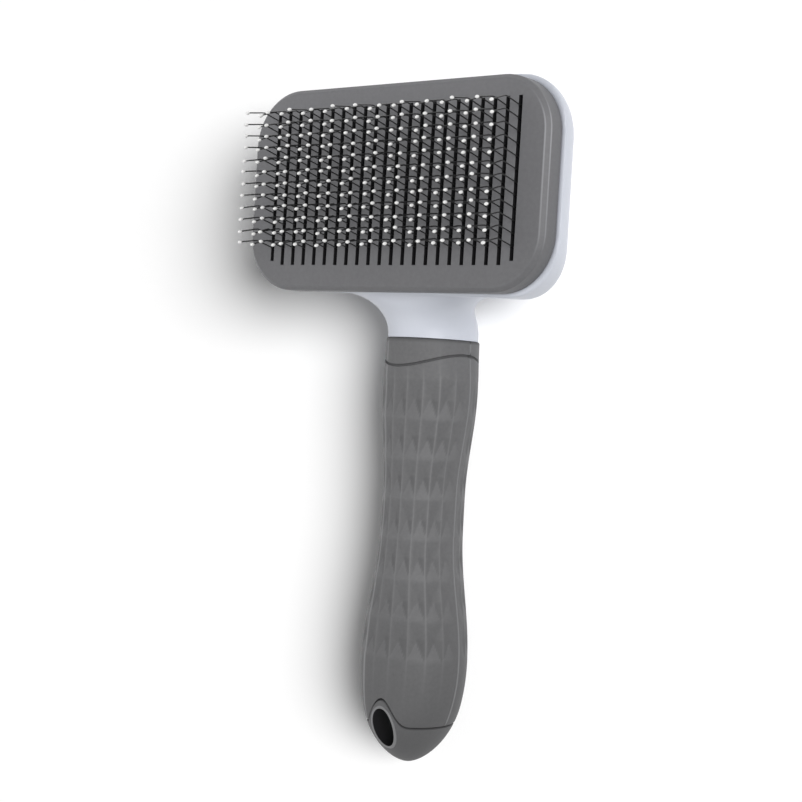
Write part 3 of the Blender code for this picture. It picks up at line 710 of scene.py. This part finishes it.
def pin_balls():
    bm = bmesh.new()
    for row in range(SLOT_COUNT):
        height, drop = PIN_HEIGHTS[row % 2], TIP_DROPS[row % 2]
        tilt = Matrix.Rotation(math.atan2(KNEE_LEAN + drop, height - KNEE_HEIGHT), 3, "X")
        ball = bmesh.ops.create_uvsphere(bm, u_segments=BALL_SIDES, v_segments=BALL_RINGS,
                                         radius=BALL_RADIUS)["verts"]
        bmesh.ops.scale(bm, vec=(1.0, 1.0, BALL_STRETCH), verts=ball)
        bmesh.ops.rotate(bm, cent=(0, 0, 0), matrix=tilt, verts=ball)
        bmesh.ops.translate(bm, vec=(0, -drop, height - BALL_RADIUS * BALL_STRETCH), verts=ball)
        copy_row(bm, with_neighbours(ball), row)
    return bm


wires = piece("pin_wires", pin_wires(), wire_steel)
balls = piece("pin_balls", pin_balls(), ball_white, smooth_angle=80)
pin_nodes = [f"pin_row_{row + 1:02d}" for row in range(SLOT_COUNT)]
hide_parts(*pin_nodes)
for made in (wires, balls):
    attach(made, "brush")
    told(made)

# %% [markdown]
# ## Pin bars
# Under the cap every row of wires stands in a narrow black bar. Only glimpses of the bars show
# through the slots, so boxes with a small bevel are enough.

# %% Pin bars
BAR_WIDTH = 2.0 * MM
BAR_HEIGHT = 2.0 * MM
BAR_DEPTH = 3.0 * MM
BAR_LENGTH = 41.9 * MM
BAR_EDGE = 0.2 * MM
BAR_EDGE_STEPS = 2


def pin_bars():
    bm = bmesh.new()
    for row in range(SLOT_COUNT):
        add_box(bm, (BAR_WIDTH, BAR_LENGTH, BAR_HEIGHT),
                (row_x(row), pins_y, face_z - BAR_DEPTH - BAR_HEIGHT / 2))
    bevel(bm, bm.edges[:], BAR_EDGE, BAR_EDGE_STEPS)
    return bm


bars = piece("pin_bars", pin_bars(), black_and_painted_shade)
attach(bars, "brush")
told(bars)

# %% [markdown]
# ## Handle's shape
# The handle is round and swells twice: under the collar and near the tail. A few stations, each a
# distance below the collar's top and a half size in millimetres, have level eases between them.
# They give the half width and the half depth at any place, which differ, so the handle can't simply
# be spun. The tail closes a little more pointed than an ellipse.

# %% Handle's shape
grip_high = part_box("grip_front")[1]
tail_low, tail_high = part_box("end_cap")
collar_y = grip_high.y
tail_y = tail_low.y
axis_z = (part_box("grip_back")[0].z + grip_high.z) / 2
TAIL_LENGTH = 30.5 * MM
TAIL_ROUNDING = 18.0 * MM
TAIL_POWER = 0.6
bulge_y = tail_y + TAIL_LENGTH
bulge_below = (collar_y - bulge_y) / MM
WIDTHS = ((0.0, 13.8), (15.4, 14.7), (46.0, 11.9), (58.0, 11.9), (bulge_below, 16.5))
DEPTHS = ((0.0, 14.3), (15.4, 13.6), (46.0, 13.1), (bulge_below, 15.0))


def ease(share):
    """Runs from 0 to 1 with level ends."""
    return (1 - math.cos(math.pi * min(max(share, 0.0), 1.0))) / 2


def eased(stations, below):
    """Half size at a distance below the collar's top, both in metres."""
    place = below / MM
    for (start, first), (end, second) in zip(stations, stations[1:]):
        if place <= end:
            return (first + (second - first) * ease((place - start) / (end - start))) * MM
    return stations[-1][1] * MM


def half_width(y):
    round_off = min(max(bulge_y - y, 0.0) / TAIL_LENGTH, 1.0)
    return eased(WIDTHS, collar_y - y) * (1 - round_off ** 2) ** TAIL_POWER


def half_depth(y):
    round_off = min(max(tail_y + TAIL_ROUNDING - y, 0.0) / TAIL_ROUNDING, 1.0)
    return eased(DEPTHS, collar_y - y) * (1 - round_off ** 2) ** TAIL_POWER


def handle_point(turn, y, inset):
    """A point round the handle, sunk by an inset."""
    x = (half_width(y) - inset) * math.cos(turn)
    z = axis_z + (half_depth(y) - inset) * math.sin(turn)
    return (x, y, z)


print("handle from", round(tail_y, 4), "to", round(collar_y, 4))

# %% [markdown]
# ## Grip
# Two soft grey halves meet on a parting line along each side, where a fine rib runs. Under the
# collar runs a groove in a wave. Below it the hand area is covered with shallow four-sided dimples,
# which fade out beside the parting lines. A bump would leave the outline smooth, so the dimples are
# real. The grid's rows follow the groove, and the dimples fall on whole numbers of rows, so every
# ridge stays crisp.

# %% Grip's rows
DIMPLE_COLUMNS = 18
DIMPLE_SHIFT = 1 / 6
DIMPLE_ROWS = 7
DIMPLE_BELOW = 11.6 * MM
DIMPLE_END = 1.8 * MM
WAVE_BELOW = 6.35 * MM
WAVE_HEIGHT = 1.95 * MM
WAVE_TURN = math.radians(10)
GROOVE_HALF = 0.42 * MM
GROOVE_DEPTH = 0.7 * MM
CAP_LINE_ABOVE = 12.4 * MM
CAP_LINE_ARCH = 7.8 * MM
CAP_LINE_POWER = 4
EDGE = 0.5 * MM
PART = 0.15 * MM
ROW_STEPS = 12
EDGE_STEPS = 4
COLLAR_ROWS = 8
GROOVE_STEPS = 4
BAND_ROWS = 10
LOWER_ROWS = 18
QUARTER = [math.pi / 2 * step / EDGE_STEPS for step in range(EDGE_STEPS + 1)]

first_y = collar_y - DIMPLE_BELOW
last_y = bulge_y + DIMPLE_END
row_pitch = (first_y - last_y) / DIMPLE_ROWS


def wave_y(turn):
    return collar_y - WAVE_BELOW + WAVE_HEIGHT * math.cos(2 * (turn - WAVE_TURN))


def cap_line_y(turn):
    arch = CAP_LINE_ARCH * max(0.0, -math.cos(2 * turn)) ** CAP_LINE_POWER
    return tail_y + CAP_LINE_ABOVE + arch


def spread(start, end, count):
    """Rows between two edges, each given by a function of the turn."""
    def row(share):
        return lambda turn: start(turn) * (1 - share) + end(turn) * share

    return [row(step / count) for step in range(count)]


def grip_rows():
    """Where each row of the grip's grid runs, and how deep it is sunk. Dimpled rows say None."""
    def level(y):
        return lambda turn: y

    def in_groove(across):
        return lambda turn: wave_y(turn) - GROOVE_HALF * across

    def above_cap_line(height):
        return lambda turn: cap_line_y(turn) + PART + (EDGE - PART) * height

    def lip(turn):
        return cap_line_y(turn) + EDGE

    rows = []
    for turn in QUARTER:
        rows.append((level(collar_y - EDGE * (1 - math.cos(turn))), EDGE * (1 - math.sin(turn))))
    collar = spread(level(collar_y - EDGE), in_groove(-1), COLLAR_ROWS)
    rows += [(place, 0.0) for place in collar[1:]]
    for step in range(2 * GROOVE_STEPS + 1):
        across = step / GROOVE_STEPS - 1
        rows.append((in_groove(across), GROOVE_DEPTH * math.sqrt(max(0.0, 1 - across * across))))
    band = spread(in_groove(1), level(first_y), BAND_ROWS)
    rows += [(place, 0.0) for place in band[1:]]
    dimples = spread(level(first_y), level(last_y), ROW_STEPS * DIMPLE_ROWS)
    rows += [(place, None) for place in dimples]
    rows += [(place, 0.0) for place in spread(level(last_y), lip, LOWER_ROWS)]
    for turn in QUARTER:
        rows.append((above_cap_line(1 - math.sin(turn)), EDGE * (1 - math.cos(turn))))
    return rows


print("grip rows", len(grip_rows()), "dimples", round(row_pitch / MM, 2), "mm long")

# %% Grip's dimples
DIMPLE_DEPTH = 0.8 * MM
PLAIN_SIDE = math.radians(22.5)
COLUMN_STEPS = 12
RIB_HEIGHT = 0.18 * MM
RIB_HALF = 0.35 * MM


def in_dimple(turn, y):
    """Where a place lies in its dimple: -1 to 1 across it, with the turn, and -1 to 1 down it."""
    column = (turn / (2 * math.pi) * DIMPLE_COLUMNS - DIMPLE_SHIFT) % 1.0
    row = ((first_y - y) / row_pitch) % 1.0
    return 2 * column - 1, 2 * row - 1


def side_fade(turn):
    """Fades the dimples out beside the parting lines."""
    return ease(abs(math.sin(turn)) / math.sin(PLAIN_SIDE))


def grip_half(start):
    """Half of the grip, from one parting line round to the other."""
    rows = grip_rows()
    columns = DIMPLE_COLUMNS // 2 * COLUMN_STEPS
    part_z = axis_z + (PART if start == 0.0 else -PART)

    def place(column, row):
        turn = start + math.pi * column / columns
        way, inset = rows[row]
        y = way(turn)
        ribbed = not inset
        if inset is None:
            inset = DIMPLE_DEPTH * side_fade(turn) * (1 - max(map(abs, in_dimple(turn, y))))
        if ribbed:
            from_part = half_width(y) * min(column, columns - column) * math.pi / columns
            inset -= RIB_HEIGHT * max(0.0, 1 - from_part / RIB_HALF)
        x, y, z = handle_point(turn, y, inset)
        return (x, y, part_z if column in (0, columns) else z)

    return wrap(columns, len(rows) - 1, place)


print("dimple columns", DIMPLE_COLUMNS, "of", COLUMN_STEPS, "steps")

# %% [markdown]
# Light and shade are painted on: the ridges, the parting lines and a line on the left get painted
# highlights, the facets of each dimple get painted light and shade, the grooves and the collar's top
# edge get painted shade, and the lower end gets painted shade. Above and below the dimples the
# ridges run on and fade. Two values stored in the mesh carry this.

# %% Light on the grip
PLAIN_RIDGE = 0.6
ACROSS_SHARE = 0.85
RIDGE_EDGE = 0.95
UPPER_REACH = 8.0 * MM
LOWER_REACH = 24.0 * MM
# Each facet of a dimple gets painted light or shade, as if lit from the upper right.
FACET_SHADING = {"below": 0.14, "right": -0.55, "left": -0.2, "above": -0.2}
LEFT_RIDGE = 6
LEFT_LINE = math.radians(360 / DIMPLE_COLUMNS * (LEFT_RIDGE + DIMPLE_SHIFT))
LEFT_HALF = 0.7 * MM
LEFT_HIGHLIGHT = 0.8
RIB_HIGHLIGHT = 1.0
# The collar's top edge gets painted shade.
COLLAR_SHADE = -0.9


def facet(across, down):
    """The painted light or shade of the facet that a place in a dimple lies on."""
    if down > abs(across):
        return FACET_SHADING["below"]
    if down <= 0:
        return FACET_SHADING["above"]
    return FACET_SHADING["right" if across < 0 else "left"]


def line_mark(turn, y, z):
    """The painted shade of the collar's edge or the groove, the painted highlight of a light line,
    or None off all of them.
    """
    from_wave = abs(y - wave_y(turn))
    if y > collar_y - EDGE:
        return COLLAR_SHADE
    if from_wave < GROOVE_HALF:
        return from_wave / GROOVE_HALF - 1
    if y > cap_line_y(turn):
        if abs(z - axis_z) < RIB_HALF:
            return RIB_HIGHLIGHT
        if abs(turn - LEFT_LINE) * half_width(y) < LEFT_HALF:
            return LEFT_HIGHLIGHT
    return None


def grip_masks(made):
    """Stores how near each point is to a ridge, and marks the painted light and shade of facets,
    lines and the groove.
    """
    ridge = made.data.attributes.new("ridge", "FLOAT", "POINT")
    mark = made.data.attributes.new("mark", "FLOAT", "POINT")
    for point, near, marked in zip(made.data.vertices, ridge.data, mark.data):
        x, y, z = point.co
        near.value = PLAIN_RIDGE
        if y <= tail_y:
            continue
        turn = math.atan2((z - axis_z) / half_depth(y), x / half_width(y))
        across, down = in_dimple(turn, y)
        beyond = max((y - first_y) / UPPER_REACH, (last_y - y) / LOWER_REACH, 0.0)
        if beyond == 0.0:
            nearest = max(abs(across), ACROSS_SHARE * abs(down))
            near.value += (nearest - PLAIN_RIDGE) * side_fade(turn)
            if max(abs(across), abs(down)) < RIDGE_EDGE:
                marked.value = facet(across, down) * side_fade(turn)
        elif beyond < 1.0:
            near.value += max(abs(across) - PLAIN_RIDGE, 0.0) * side_fade(turn) * (1 - beyond)
        on_line = line_mark(turn, y, z)
        if on_line is not None:
            marked.value = on_line


print("facets", FACET_SHADING)

# %% Grip's finish
LINE_HIGHLIGHT = 1.5
GRIP_IOR = 1.44
GRIP_GRAIN = 0.3 * MM
GRIP_GRAIN_DEPTH = 0.012 * MM
GRIP_CLOUD = 15.0 * MM
STREAK = 1.5 * MM
STREAK_STRETCH = (1.0, 0.12, 1.0)
RIDGE_HIGHLIGHT, CLOUD_TONE, STREAK_TONE, SPOT_TONE, LEAST_TONE = 0.5, 0.15, 0.2, 0.5, 0.175
RIDGE_POWER = 8.0
DARK_TONE, LIGHT_TONE = 0.7, 1.2
LOWER_START = -0.04
LOWER_SHARE = 0.75
LOWER_SHADE = 0.35
GRIP_ROUGH = 0.58
RIDGE_ROUGH = 0.1
RIDGE_ROUGH_POWER = 4.0


def soft_grip():
    """Soft grey moulding with painted highlights along its ridges and painted shade towards the
    tail.
    """
    finish = material("soft_grip", Metallic=0.0, IOR=GRIP_IOR)
    fine = finish.noise(GRIP_GRAIN)
    broad = finish.noise(GRIP_CLOUD)
    streak = finish.noise(STREAK, STREAK_DETAIL, STREAK_STRETCH)
    spots = finish.noise(SPOT)
    ridge = finish.stored("ridge")
    # The ridges get a painted highlight.
    tone = (RIDGE_HIGHLIGHT * ridge ** RIDGE_POWER + CLOUD_TONE * broad + STREAK_TONE * streak
            + SPOT_TONE * spots - LEAST_TONE)
    # Towards the tail the grip gets painted shade.
    lower = (LOWER_START - finish.along()) * (LOWER_SHARE / (LOWER_START - tail_y))
    plain = finish.between(tone, shade(GREY, DARK_TONE), shade(GREY, LIGHT_TONE))
    plain = finish.between(lower, plain, shade(GREY, LOWER_SHADE))
    light, dark = shade(GREY, LINE_HIGHLIGHT), shade(GREY, PAINTED_SHADE)
    finish.paint("Base Color", finish.marked(plain, light, dark))
    rubbed = RIDGE_ROUGH * ridge ** RIDGE_ROUGH_POWER
    finish.paint("Roughness", GRIP_ROUGH + GRAIN_ROUGH * fine - rubbed)
    finish.bump(fine, GRIP_GRAIN_DEPTH)
    return finish


grip_finish = soft_grip()
print("grip in", grip_finish.material.name)

# %% Grip
GRIP_WALL = 2.6 * MM

for name, node, start in (("front_grip", "grip_front", 0.0), ("back_grip", "grip_back", math.pi)):
    half = piece(name, grip_half(start), grip_finish, smooth_angle=70)
    grip_masks(half)
    wall = half.modifiers.new("wall", "SOLIDIFY")
    wall.thickness = GRIP_WALL
    wall.offset = -1.0
    settle(half)
    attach(half, "brush")
    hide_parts(node)
    told(half)

# %% [markdown]
# ## Tail with its hanging hole
# Below a second groove the tail is smooth. An oval hole runs through it from front to back. Its rim
# is a thin rounded lip that follows the tail's curve, and its lining is painted black, as painted
# shade for the deep hole. The hole is cut, so the tail's own faces needn't run round it.

# %% Tail
HOLE_HALF_WIDTH = 4.1 * MM
HOLE_HALF_LENGTH = 6.2 * MM
HOLE_ABOVE = 11.6 * MM
HOLE_LOW, HOLE_HIGH = -10.0 * MM, 50.0 * MM
HOLE_SIDES = 96
TAIL_COLUMNS = 128
TAIL_STEPS = 40
hole_y = tail_y + HOLE_ABOVE


def tail_body():
    def below_cap_line(depth):
        return lambda turn: cap_line_y(turn) - PART - (EDGE - PART) * depth

    def towards_tail(share):
        return lambda turn: (cap_line_y(turn) - EDGE) * (1 - share) + tail_y * share

    rows = [(below_cap_line(math.sin(turn)), EDGE * (1 - math.sin(turn))) for turn in QUARTER]
    for step in range(1, TAIL_STEPS + 1):
        rows.append((towards_tail(math.sin(math.pi / 2 * step / TAIL_STEPS)), 0.0))

    def place(column, row):
        turn = full_turn(column, TAIL_COLUMNS)
        way, sunk = rows[row]
        return handle_point(turn, way(turn), sunk)

    return wrap(TAIL_COLUMNS, len(rows) - 1, place, closed=True)


def hole_cutter():
    """An upright oval rod through the tail."""
    bm = bmesh.new()
    bmesh.ops.create_cone(bm, cap_ends=True, segments=HOLE_SIDES, radius1=1.0, radius2=1.0,
                          depth=HOLE_HIGH - HOLE_LOW)
    bmesh.ops.scale(bm, vec=(HOLE_HALF_WIDTH, HOLE_HALF_LENGTH, 1.0), verts=bm.verts)
    bmesh.ops.translate(bm, vec=(0, hole_y, (HOLE_LOW + HOLE_HIGH) / 2), verts=bm.verts)
    return bm


tail = piece("tail", tail_body(), grip_finish, smooth_angle=50)
grip_masks(tail)
# The hole's lining is painted black, as painted shade.
cut(tail, hole_cutter(), finish=black_and_painted_shade)
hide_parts("end_cap")
told(tail)

# %% Lips
LIP_RADIUS = 0.4 * MM
LIP_FLATNESS = 0.5
LIP_COLUMNS, LIP_ROWS = 96, 10
LIP_TONE = 1.1


def surface_z(x, y, side):
    """Height of the tail's front or back over a place."""
    across = min(abs(x) / half_width(y), 1.0)
    return axis_z + side * half_depth(y) * math.sqrt(1 - across * across)


def lip(side):
    """A thin rounded rim round one mouth of the hole."""
    def place(column, row):
        turn = full_turn(column, LIP_COLUMNS)
        round_turn = full_turn(row, LIP_ROWS)
        out = LIP_RADIUS * math.cos(round_turn)
        x = (HOLE_HALF_WIDTH + out) * math.cos(turn)
        y = hole_y + (HOLE_HALF_LENGTH + out) * math.sin(turn)
        z = surface_z(x, y, side) + side * LIP_RADIUS * LIP_FLATNESS * math.sin(round_turn)
        return (x, y, min(max(z, tail_low.z), tail_high.z))

    return wrap(LIP_COLUMNS, LIP_ROWS, place)


lip_grey = moulded("lip_grey", shade(GREY, LIP_TONE), roughness=0.5, grain=0.3 * MM,
                   grain_depth=0.006 * MM)
lips = [piece(name, lip(side), lip_grey, smooth_angle=80)
        for name, side in (("front_lip", 1), ("back_lip", -1))]
for made in (tail, *lips):
    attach(made, "brush")
print("lips", [made.name for made in lips])

# %% [markdown]
# ## Tray and neck
# The white tray is a dome behind the cap, open towards it, and it runs into the flared neck without
# a seam. The dome is the rim's outline inset and lowered step by step. Its lower edge rises a
# little to the left, as it does in the photograph. The hollow is a smaller dome of the same kind.

# %% Dome
rim_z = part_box("back_shell")[1].z
TRAY_LIP = 1.0 * MM
TRAY_WALL = 1.8 * MM
TRAY_RIM = 0.7 * MM
TRAY_CORNER = 16.0 * MM
TRAY_CORNER_STEPS = 14
LEAST_CORNER = 6.0 * MM
LOWER_LEFT_RISE = 1.5 * MM
EDGE_RADIUS = 12.0 * MM
DOME_TURN = math.radians(50)
DOME_SLOPE = 8.0 * MM
DOME_DROP = 4.5 * MM
DOME_STEPS = 10
CROWN_RADIUS = 20.0 * MM
HOLLOW_RISE = 5.0 * MM


def dome_profile(wall):
    """Inset and depth from the rim to the middle of the back."""
    edge, crown = EDGE_RADIUS - wall, CROWN_RADIUS - wall
    profile = [(wall, 0.0)]
    for step in range(DOME_STEPS + 1):
        turn = DOME_TURN * step / DOME_STEPS
        profile.append((wall + edge * (1 - math.cos(turn)), TRAY_RIM + edge * math.sin(turn)))
    inset = profile[-1][0] + DOME_SLOPE * math.sin(DOME_TURN)
    depth = profile[-1][1] + DOME_SLOPE * math.cos(DOME_TURN)
    for step in range(DOME_STEPS + 1):
        turn = DOME_TURN + (math.pi / 2 - DOME_TURN) * step / DOME_STEPS
        profile.append((inset + crown * (math.cos(DOME_TURN) - math.cos(turn)),
                        depth + crown * (math.sin(turn) - math.sin(DOME_TURN))))
    return profile


def dome(wall, rise):
    """The dome's outside, or its hollow for a wall, which follows the cap's corners."""
    profile = [(wall, -rise)] + dome_profile(wall)
    corner = CAP_CORNER + TRAY_LIP if wall else TRAY_CORNER
    columns = 4 * (TRAY_CORNER_STEPS + 1)

    def place(column, row):
        inset, depth = profile[row]
        quarter, step = divmod(column % columns, TRAY_CORNER_STEPS + 1)
        turn = math.pi / 2 * (quarter + step / TRAY_CORNER_STEPS)
        radius = max(corner - inset, LEAST_CORNER)
        drop = DOME_DROP * math.sin(min((inset - wall) / DOME_DROP, math.pi / 2))
        side_x = 1 if quarter in (0, 3) else -1
        side_y = 1 if quarter in (0, 1) else -1
        x = side_x * (cap_half_x + TRAY_LIP - inset - radius) + radius * math.cos(turn)
        y = side_y * (cap_half_y + TRAY_LIP - inset - radius) + radius * math.sin(turn)
        rise_y = LOWER_LEFT_RISE if quarter == 2 else 0.0
        return (x, head_y - drop + y + rise_y, rim_z - depth)

    return wrap(columns, len(profile) - 1, place, closed=True)


print("dome", round(dome_profile(0.0)[-1][1] / MM, 2), "mm deep")

# %% [markdown]
# The neck is a tube that turns wider on its way into the dome. Its front flares further than its
# sides do.

# %% Neck
NECK_LENGTH = head_y - cap_half_y - TRAY_LIP - collar_y
NECK_FLARE_LENGTH = NECK_LENGTH + TRAY_LIP
NECK_FLARE = 18.0 * MM
NECK_SIDE_FLARE = 8.0 * MM
NECK_SIDE_LENGTH = 5.0 * MM
NECK_FLARE_SHARE = 0.98
NECK_STEP = 0.4 * MM
NECK_REACH = 20.0 * MM
NECK_BACK = 5.0 * MM
NECK_START = 3.0 * MM
NECK_STRAIGHT = 0.3 * MM
NECK_COLUMNS, NECK_ROWS = 96, 60


def round_out(share):
    """Runs from 0 to nearly 1 as a quarter circle."""
    return 1 - math.sqrt(1 - min(max(share, 0.0), NECK_FLARE_SHARE) ** 2)


def neck():
    """Tube from inside the collar, up the flare and into the dome."""
    flare_y = collar_y + NECK_STRAIGHT
    half_wide = WIDTHS[0][1] * MM - NECK_STEP
    half_deep = DEPTHS[0][1] * MM - NECK_STEP
    rim_rise = rim_z - TRAY_RIM - axis_z - half_deep
    low = collar_y - NECK_START
    high = collar_y + NECK_LENGTH + NECK_REACH

    def place(column, row):
        y = low + (high - low) * row / NECK_ROWS
        along = y - flare_y
        front = half_deep + rim_rise * ease(along / NECK_LENGTH) ** 2
        back = half_deep - (half_deep + NECK_BACK) * ease(along / (NECK_LENGTH + NECK_REACH))
        front_flare = NECK_FLARE * round_out(along / NECK_FLARE_LENGTH)
        side_share = 1 + (along - NECK_FLARE_LENGTH) / NECK_SIDE_LENGTH
        side_flare = NECK_SIDE_FLARE * round_out(side_share)
        turn = full_turn(column, NECK_COLUMNS)
        up = math.sin(turn)
        wide = half_wide + side_flare + front_flare * ((1 + up) / 2) ** 2
        return (wide * math.cos(turn), y, axis_z + (front - back) / 2 + (front + back) / 2 * up)

    return wrap(NECK_COLUMNS, NECK_ROWS, place, closed=True)


print("neck", round(NECK_LENGTH / MM, 2), "mm long")

# %% [markdown]
# Dome and neck are joined, hollowed and opened for the button. Then they are remeshed and smoothed
# a little, which rounds the place where they meet. A bevel there would need clean loops of edges.
# The neck is cut off square a hair above the collar, so a thin dark line stays between the white
# and the grey.

# %% Tray and neck
button_low, button_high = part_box("push_button")
button_half_x = (button_high.x - button_low.x) / 2
button_half_y = (button_high.y - button_low.y) / 2
BUTTON_END = 0.3 * MM
SLIDE = 0.5 * MM
WINDOW_LOW = -1.0 * MM
VOXEL = 0.5 * MM
SMOOTH_TIMES = 6
SMOOTH_FACTOR = 0.5
TRAY_SMOOTH = 50
COLLAR_GAP = 0.12 * MM


def trim_below(made, y):
    """Cuts a piece off square below a place along the handle, and closes it."""
    bm = bmesh.new()
    bm.from_mesh(made.data)
    parts = bm.verts[:] + bm.edges[:] + bm.faces[:]
    bmesh.ops.bisect_plane(bm, geom=parts, plane_co=(0, y, 0), plane_no=(0, -1, 0),
                           clear_outer=True)
    bmesh.ops.holes_fill(bm, edges=[edge for edge in bm.edges if edge.is_boundary], sides=0)
    bm.to_mesh(made.data)
    bm.free()


def window_cutter():
    """A block for the opening that the button slides in."""
    half_y = button_half_y + SLIDE
    bm = rounded_plate(button_half_x + SLIDE, half_y, half_y - BUTTON_END, (0, head_y, WINDOW_LOW))
    thicken(bm, rim_z)
    return bm


tray = piece("tray_and_neck", dome(wall=0.0, rise=0.0), white_tray)
cut(tray, neck(), "UNION")
cut(tray, dome(wall=TRAY_WALL, rise=HOLLOW_RISE))
cut(tray, window_cutter())
remesh = tray.modifiers.new("remesh", "REMESH")
remesh.mode = "VOXEL"
remesh.voxel_size = VOXEL
smooth = tray.modifiers.new("smooth", "SMOOTH")
smooth.iterations = SMOOTH_TIMES
smooth.factor = SMOOTH_FACTOR
settle(tray)
trim_below(tray, collar_y + COLLAR_GAP)
smooth_below(tray.data, TRAY_SMOOTH)
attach(tray, "brush")
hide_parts("back_shell")
told(tray)

# %% [markdown]
# ## Push button
# On the back a long grey button stands through the tray. Its rim is generously rounded, for a
# thumb. Like the cap, it starts as a plate.

# %% Push button
BUTTON_EDGE = 4.0 * MM
BUTTON_EDGE_STEPS = 8


def button_body():
    bm = rounded_plate(button_half_x, button_half_y, button_half_y - BUTTON_END,
                       (0, head_y, button_high.z))
    pad = thicken(bm, button_low.z - button_high.z)
    bevel(bm, pad.edges[:], BUTTON_EDGE, BUTTON_EDGE_STEPS)
    return bm


button = piece("button", button_body(), grey_cap, smooth_angle=50)
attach(button, "ejector")
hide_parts("push_button")
told(button)

# %% [markdown]
# ## Springs
# A coil spring stands in a well at each end of the carrier and bears on the pin base above it. When
# the cap is pushed out the carrier rises, and the spring is squashed towards its upper end. A screw
# modifier would wind it too, but a wrapped grid fills the solid's box exactly.

# %% Springs
SPRING_WIRE = 0.4 * MM
SPRING_TURNS = 6
SPRING_STEPS = 40
SPRING_SIDES = 10
SCREW_GREY = (0.5, 0.5, 0.51)
screw_steel = steel("screw_steel", SCREW_GREY, roughness=0.3, stretch=(1.0, 1.0, 0.3))


def coil(low, high):
    """A round wire that winds up through a spring's box."""
    middle = (low + high) / 2
    radius = (high.x - low.x) / 2 - SPRING_WIRE
    steps = SPRING_TURNS * SPRING_STEPS

    def place(column, row):
        turn = 2 * math.pi * row / SPRING_STEPS
        round_turn = full_turn(column, SPRING_SIDES)
        out = radius + SPRING_WIRE * math.cos(round_turn)
        rise = low.z + SPRING_WIRE + (high.z - low.z - 2 * SPRING_WIRE) * row / steps
        return (middle.x + out * math.cos(turn), middle.y + out * math.sin(turn),
                rise + SPRING_WIRE * math.sin(round_turn))

    return wrap(SPRING_SIDES, steps, place, closed=True)


for node in ("return_spring_left", "return_spring_right"):
    low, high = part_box(node)
    spring = piece(node.replace("return", "coil"), coil(low, high), screw_steel, smooth_angle=80)
    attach(spring, "brush")
    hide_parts(node)
    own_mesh(spring)
    told(spring)

# %% [markdown]
# ## Inside pieces
# The pin base, the carrier and the screws keep their solids. They show only through the slots and
# when the cap is pushed out, so plain black and bright steel are enough.

# %% Inside pieces
inside = {name: node for name, node in frame["nodes"].items() if not node.hide_render}
for name, node in inside.items():
    finish = screw_steel if "screw" in name else black_and_painted_shade
    node.data.materials.clear()
    node.data.materials.append(finish.material)
print("inside pieces", list(inside))

# %% [markdown]
# ## Floor and light
# The brush lies on a white floor. Two soft suns light the brush evenly, the stronger one from the
# upper right. Suns shine the same everywhere, where a lamp would fade along the handle. A third sun
# lights the floor alone. It stands lower than the camera, so a soft shadow falls to the left only.
# The world fills the rest dimly, and the floor glows a little in rays that show the background.

# %% Floor and world
FLOOR_HALF = 3.0
FLOOR_DARK = (0.945, 0.945, 0.945)
FLOOR_LIGHT = (0.955, 0.955, 0.955)
FLOOR_ROUGH = 0.9
FLOOR_GLOW = 0.06
SPECKLE = 2.0 * MM
NO_GLOW = (0.0, 0.0, 0.0)
FULL_GLOW = (1.0, 1.0, 1.0)
FILL = (0.15, 0.15, 0.15)

brush_objects = [made for made in scene.objects if made.type == "MESH"]
floor_bm = bmesh.new()
bmesh.ops.create_grid(floor_bm, x_segments=1, y_segments=1, size=FLOOR_HALF)
floor_white = material("floor_white", Roughness=FLOOR_ROUGH, Metallic=0.0,
                       Emission_Strength=FLOOR_GLOW)
speckled = floor_white.between(floor_white.noise(SPECKLE), FLOOR_DARK, FLOOR_LIGHT)
floor_white.paint("Base Color", speckled)
glow = floor_white.between(floor_white.seen(), NO_GLOW, FULL_GLOW)
floor_white.paint("Emission Color", glow)
floor = piece("floor", floor_bm, floor_white)
floor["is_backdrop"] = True

scene.world = bpy.data.worlds.new("world")
sky = Finish(scene.world, "Background", Strength=1.0)
sky.paint("Color", sky.between(sky.seen(), FILL, FULL_GLOW))
print("made", floor.name, "and", scene.world.name)


# %% Suns
def sun(name, direction, level, spread, lit):
    """A soft sun on the given objects. At level 1 a face turned to it shows its own colour."""
    data = bpy.data.lights.new(name, "SUN")
    data.energy = math.pi * level
    data.angle = math.radians(spread)
    made = bpy.data.objects.new(name, data)
    made.rotation_euler = Vector(direction).to_track_quat("Z", "Y").to_euler()
    scene.collection.objects.link(made)
    group = bpy.data.collections.new(name)
    for each in lit:
        group.objects.link(each)
    made.light_linking.receiver_collection = group


sun("floor_sun", direction=(1.33, 0.13, 1.0), level=1.42, spread=26, lit=[floor])
sun("key_sun", direction=(1.0, 0.3, 1.0), level=0.65, spread=40, lit=brush_objects)
sun("fill_sun", direction=(-0.6, -0.45, 1.0), level=0.41, spread=80, lit=brush_objects)

# %% [markdown]
# ## Sizes
# Both boxes are gathered, and the dressed brush's box is printed, to set beside the solids' box
# printed at the start.

# %% Sizes and finish
corners = {"cad": [list(corner) for corner in cad_box],
           "visual": [list(corner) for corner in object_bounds()]}
print("visual box", brief(corners["visual"]))
